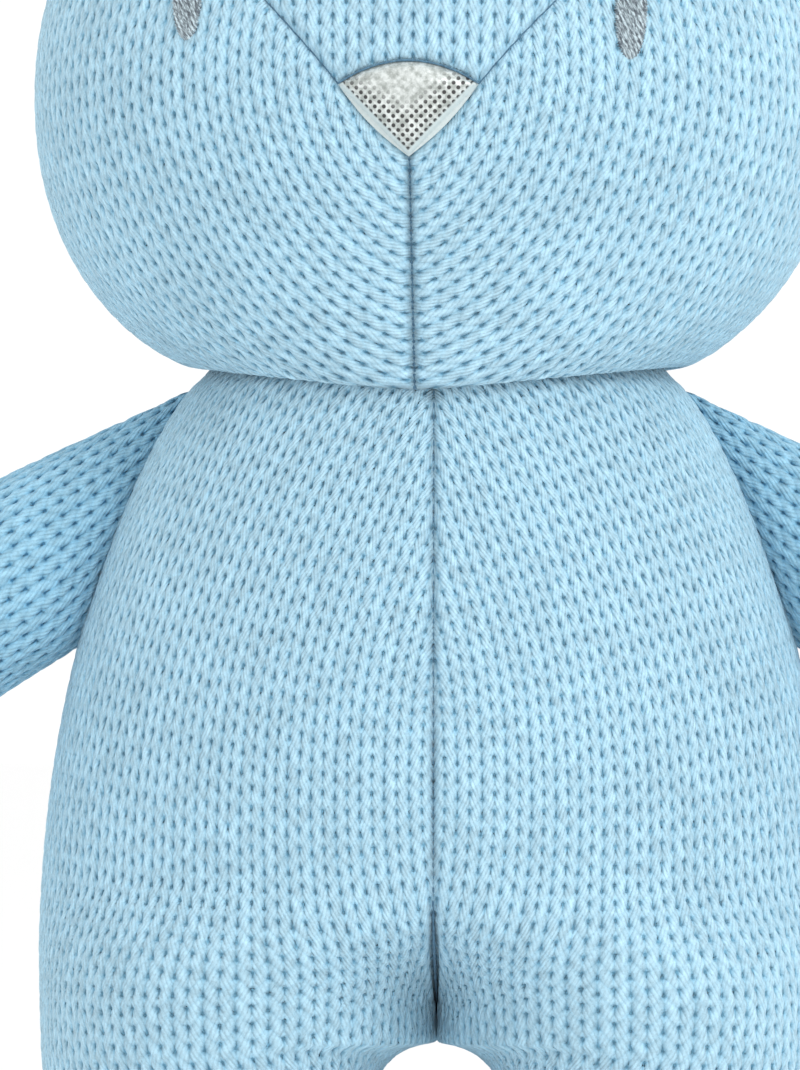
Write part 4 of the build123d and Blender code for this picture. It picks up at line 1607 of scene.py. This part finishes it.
# ---------------------------------------------------------------------------------------------- arms
@dataclass
class Arm:
    """One arm: a round sleeve with a rounded hand, flat where it is sewn into the side seam."""

    side: Side
    gauge: Gauge
    finishes: Finishes
    slope: float = 31.6
    radius: float = 14.0
    hand: float = 14.6
    reach: float = 49.5
    middle: tuple[float, float] = (65.7, 116.8)
    root_top: tuple[float, float] = (35.6, 147.8)
    root_low: tuple[float, float] = (52.2, 108.6)
    root_length: float = 30.0
    fill_inset: float = 3.6

    def grid(self, rows: int, columns: int, facing: Facing, inset: float = 0.0) -> np.ndarray:
        """The sleeve's front or back, from the root to the tip of the hand.

        Args:
            rows: Rows along the sleeve.
            columns: Columns from its lower edge to its upper one.
            facing: Front or back.
            inset: How far to draw the form in.

        Returns:
            The points.
        """
        angle = math.radians(self.slope)
        out = np.array([math.cos(angle), -math.sin(angle)])
        over = np.array([math.sin(angle), math.cos(angle)])
        sleeve = self.reach
        s = np.linspace(0.6 * inset - self.root_length, sleeve - inset, rows)
        t = np.clip((s + self.root_length) / self.root_length, 0, 1)
        beyond = np.clip(s, 0, None)
        grow = self.radius + (self.hand - self.radius) * ease(beyond / 26.0)
        tip = self.hand * 1.15
        cap = np.clip((beyond - (sleeve - tip)) / tip, 0, 1)
        grow = grow * np.sqrt(np.clip(1 - cap**2.2, 0, 1))
        middle = np.array(self.middle)
        ends = []
        for sign, root in ((1, self.root_top), (-1, self.root_low)):
            join = middle + sign * self.radius * over
            reach = np.linalg.norm(join - root) * 0.9
            h = t[:, None]
            early = (
                (2 * h**3 - 3 * h**2 + 1) * root + (h**3 - 2 * h**2 + h) * reach * out
                + (-2 * h**3 + 3 * h**2) * join + (h**3 - h**2) * reach * out
            )
            late = middle + beyond[:, None] * out + sign * grow[:, None] * over
            ends.append(np.where((s < 0)[:, None], early, late))
        centre = 0.5 * (ends[0] + ends[1])
        half = 0.5 * (ends[0] - ends[1])
        length = np.linalg.norm(half, axis=1, keepdims=True)
        half = half * np.maximum(length - inset, min(inset, 0.3)) / np.maximum(length, 1e-6)
        thick = np.where(s < 0, 1.0 + (self.radius - 1.0) * np.sin(t * math.pi / 2) ** 0.85, grow)
        thick = np.maximum(thick - inset, min(inset, 0.3))
        turn = np.linspace(-math.pi / 2, math.pi / 2, columns)[None, :]
        x = centre[:, None, 0] + half[:, None, 0] * np.sin(turn)
        z = centre[:, None, 1] + half[:, None, 1] * np.sin(turn)
        y = facing.value * thick[:, None] * np.cos(turn)
        return stack(x, y, z)

    def normals(self, points: np.ndarray) -> np.ndarray:
        """Outward normals, square to the seam plane at the sleeve's edges."""
        centre = points.mean(axis=1, keepdims=True) * [1, 0, 1]
        normal = grid_normals(points, centre)
        normal[:-1, 0, 1] = 0.0
        normal[:-1, -1, 1] = 0.0
        return unit(normal)

    def along(self, points: np.ndarray, normal: np.ndarray) -> np.ndarray:
        """Wales along the sleeve, running up towards the shoulder."""
        angle = math.radians(self.slope)
        straight = stack(-math.cos(angle) + 0 * points[..., 0], 0.0, math.sin(angle))
        return straight

    def build(self) -> None:
        """Makes the front and back covers."""
        for facing in Facing:
            panel = Panel(
                f"arm_knit_{facing.word}_{self.side.word}",
                lambda rows, columns, facing=facing: self.grid(rows, columns, facing),
                self.along, self.normals, seams=(0.6, 0.6, 0.4, 0.0),
                seed=6.0 + self.side.value + facing.value, lump=0.25,
            )
            # the arm covers take the darker knit with painted shade
            piece = panel.build(self.gauge, self.finishes.arm_knit, self.side)
            self.bend(piece)
            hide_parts(f"arm_{facing.word}_panel_{self.side.word}")
        rings = front_and_back(
            lambda facing: self.grid(60, 17, facing, self.fill_inset)
        ) * [self.side.value, 1, 1]
        fill = closed_tube(f"arm_fill_{self.side.word}", rings, self.finishes.fill)
        self.bend(fill)
        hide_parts(f"arm_stuffing_{self.side.word}")

    def bend(self, piece: bpy.types.Object) -> None:
        """Bakes a piece's transform into its mesh."""
        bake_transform(piece)


# ---------------------------------------------------------------------------------------------- ears
@dataclass
class Ear:
    """One tall ear, thin at the root where it is sewn into the crown seam."""

    side: Side
    gauge: Gauge
    finishes: Finishes
    foot: tuple[float, float, float] = (27.4818, 3.0, 236.7)
    across: tuple[float, float, float] = (0.953586, 0.0, -0.30112)
    up: tuple[float, float, float] = (0.30112, 0.0, 0.953586)
    length: float = 92.4
    half_width: float = 20.2
    root_half: float = 15.0
    thickness: float = 4.3
    tuck: float = 4.2
    lining_inset: float = 2.6

    def grid(self, rows: int, columns: int, facing: Facing, inset: float = 0.0) -> np.ndarray:
        """The ear's front or back, from the root to the tip.

        Args:
            rows: Rows along the ear.
            columns: Columns from edge to edge.
            facing: Front or back.
            inset: How far to draw the form in.

        Returns:
            The points.
        """
        q = np.linspace(0, 1, rows)
        s = -self.tuck + (self.length + self.tuck - inset) * (1 - (1 - q) ** 1.35)
        share = np.clip(s / self.length, 0, 1)
        low = self.half_width - (self.half_width - self.root_half) * (
            np.clip(0.43 - share, 0, 1) / 0.43
        ) ** 2
        high = self.half_width * np.sqrt(np.clip(1 - (np.clip(share - 0.43, 0, 1) / 0.57) ** 2.25, 0, 1))
        wide = np.where(share < 0.43, low, high)
        thick = 1.1 + (self.thickness - 1.1) * ease(s / 20.0)
        thick = thick * np.sqrt(np.clip(1 - share**7, 0, 1))
        wide = np.maximum(wide - 1.5 * inset, min(inset, 0.3))
        thick = np.maximum(thick - inset, min(inset, 0.25))
        turn = np.linspace(-math.pi / 2, math.pi / 2, columns)[None, :]
        foot, across, up = np.array(self.foot), np.array(self.across), np.array(self.up)
        plane = foot + s[:, None, None] * up + (wide[:, None] * np.sin(turn))[..., None] * across
        plane[..., 1] += facing.value * thick[:, None] * np.cos(turn) ** 0.8
        return plane

    def normals(self, points: np.ndarray) -> np.ndarray:
        """Outward normals, square to the ear's own plane at its edges."""
        centre = points.mean(axis=1, keepdims=True)
        centre[..., 1] = self.foot[1]
        normal = grid_normals(points, centre)
        normal[:-1, 0, 1] = 0.0
        normal[:-1, -1, 1] = 0.0
        return unit(normal)

    def along(self, points: np.ndarray, normal: np.ndarray) -> np.ndarray:
        """Wales along the ear."""
        return stack(self.up[0] + 0 * points[..., 0], 0.0, self.up[2])

    def build(self) -> None:
        """Makes the front and back covers."""
        sign = self.side.value
        for facing in Facing:
            panel = Panel(
                f"ear_knit_{facing.word}_{self.side.word}",
                lambda rows, columns, facing=facing: self.grid(rows, columns, facing),
                self.along, self.normals, seams=(0.5, 0.5, 0.0, 0.0), seed=8.0 + sign + facing.value,
                lump=0.2,
            )
            piece = panel.build(self.gauge, self.finishes.knit, self.side)
            self.bend(piece)
            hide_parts(f"ear_{facing.word}_{self.side.word}")
        rings = front_and_back(lambda facing: self.grid(50, 13, facing, self.lining_inset)) * [sign, 1, 1]
        lining = closed_tube(f"ear_wadding_{self.side.word}", rings, self.finishes.wadding)
        self.bend(lining)
        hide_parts(f"ear_lining_{self.side.word}")

    def bend(self, piece: bpy.types.Object) -> None:
        """Turns a piece as far as the head is turned and bakes its transform."""
        piece.data.transform(Matrix.Rotation(math.radians(Head.turn), 4, "Z"))
        foot, up = np.array(self.foot), np.array(self.up)
        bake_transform(piece)


# ---------------------------------------------------------------------------------------------- studio
@dataclass
class Studio:
    """Floor, backdrop, soft lights and the camera."""

    azimuth: float = 1.0
    target: tuple[float, float, float] = (-5.3, -20.0, 124.2)
    seen_height: float = 160.5
    lens: float = 600.0
    sensor: float = 36.0

    def build(self) -> None:
        """Sets the whole stage."""
        self.build_floor()
        self.build_lights()
        self.build_camera()

    def build_floor(self) -> None:
        """A pale floor that curves up into a backdrop far behind."""
        bpy.ops.object.select_all(action="DESELECT")
        bpy.ops.mesh.primitive_plane_add(size=14.0, location=(0, 0, 0))
        floor = bpy.context.object
        floor.name = "studio_floor"
        material, nodes, shader = new_material("studio_paper")
        place = nodes.add("ShaderNodeTexCoord")
        grain = nodes.noise(place.outputs["Object"], 90.0, 3.0, 0.5)
        nodes.feed(
            shader.inputs["Base Color"],
            nodes.mix(
                nodes.stretch(grain, 0.3, 0.7, 0.0, 1.0), (0.945, 0.945, 0.945, 1.0), (0.96, 0.96, 0.96, 1.0)
            ),
        )
        shader.inputs["Roughness"].default_value = 0.85
        floor.data.materials.append(material)

    def build_lights(self) -> None:
        """A broad soft key from the front and above, a wide fill and a bright surround."""
        world = bpy.data.worlds.new("studio_surround")
        bpy.context.scene.world = world
        bpy.context.scene.view_settings.view_transform = "Standard"
        world.use_nodes = True
        world.node_tree.nodes["Background"].inputs[0].default_value = (1.0, 1.0, 1.0, 1.0)
        world.node_tree.nodes["Background"].inputs[1].default_value = 1.04
        for name, place, size, power in (
            ("key_light", (0.85, -1.0, 1.1), 0.7, 9.0),
            ("fill_light", (-1.2, -0.9, 0.55), 1.2, 0.6),
        ):
            data = bpy.data.lights.new(name, "AREA")
            data.shape = "DISK"
            data.size = size
            data.energy = power
            lamp = bpy.data.objects.new(name, data)
            bpy.context.scene.collection.objects.link(lamp)
            lamp.location = place
            aim = Vector((0, 0, 0.12)) - Vector(place)
            lamp.rotation_euler = aim.to_track_quat("-Z", "Y").to_euler()

    def build_camera(self) -> None:
        """A long lens at the toy's own height, a little to its left."""
        data = bpy.data.cameras.new("front_camera")
        data.lens = self.lens
        data.sensor_width = self.sensor
        data.clip_end = 50.0
        camera = bpy.data.objects.new("front_camera", data)
        bpy.context.scene.collection.objects.link(camera)
        distance = self.seen_height * MM * self.lens / self.sensor
        angle = math.radians(self.azimuth)
        target = Vector(self.target) * MM
        camera.location = target + Vector((math.sin(angle), -math.cos(angle), 0.0)) * distance
        camera.rotation_euler = (target - camera.location).to_track_quat("-Z", "Y").to_euler()
        bpy.context.scene.camera = camera


def dress_inner_pieces(nodes: dict[str, bpy.types.Object], finishes: Finishes) -> None:
    """Gives the CAD pieces that stay, the label and the neck's stitches, their materials.

    Args:
        nodes: The CAD nodes by name.
        finishes: The materials.
    """
    for name, node in nodes.items():
        if "label" in name:
            material = finishes.label
        elif "ladder" in name:
            material = finishes.thread
        else:
            continue
        node.data.materials.clear()
        node.data.materials.append(material)


def main() -> None:
    """Builds the toy over its frame."""
    logging.basicConfig(level=logging.INFO, format="%(message)s")
    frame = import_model()
    gauge = Gauge()
    finishes = Finishes(gauge)
    dress_inner_pieces(frame["nodes"], finishes)
    Head(gauge, finishes).build()
    Body(gauge, finishes).build()
    for side in Side:
        Arm(side, gauge, finishes).build()
        Ear(side, gauge, finishes).build()
    Studio().build()


if __name__ == "__main__":
    main()
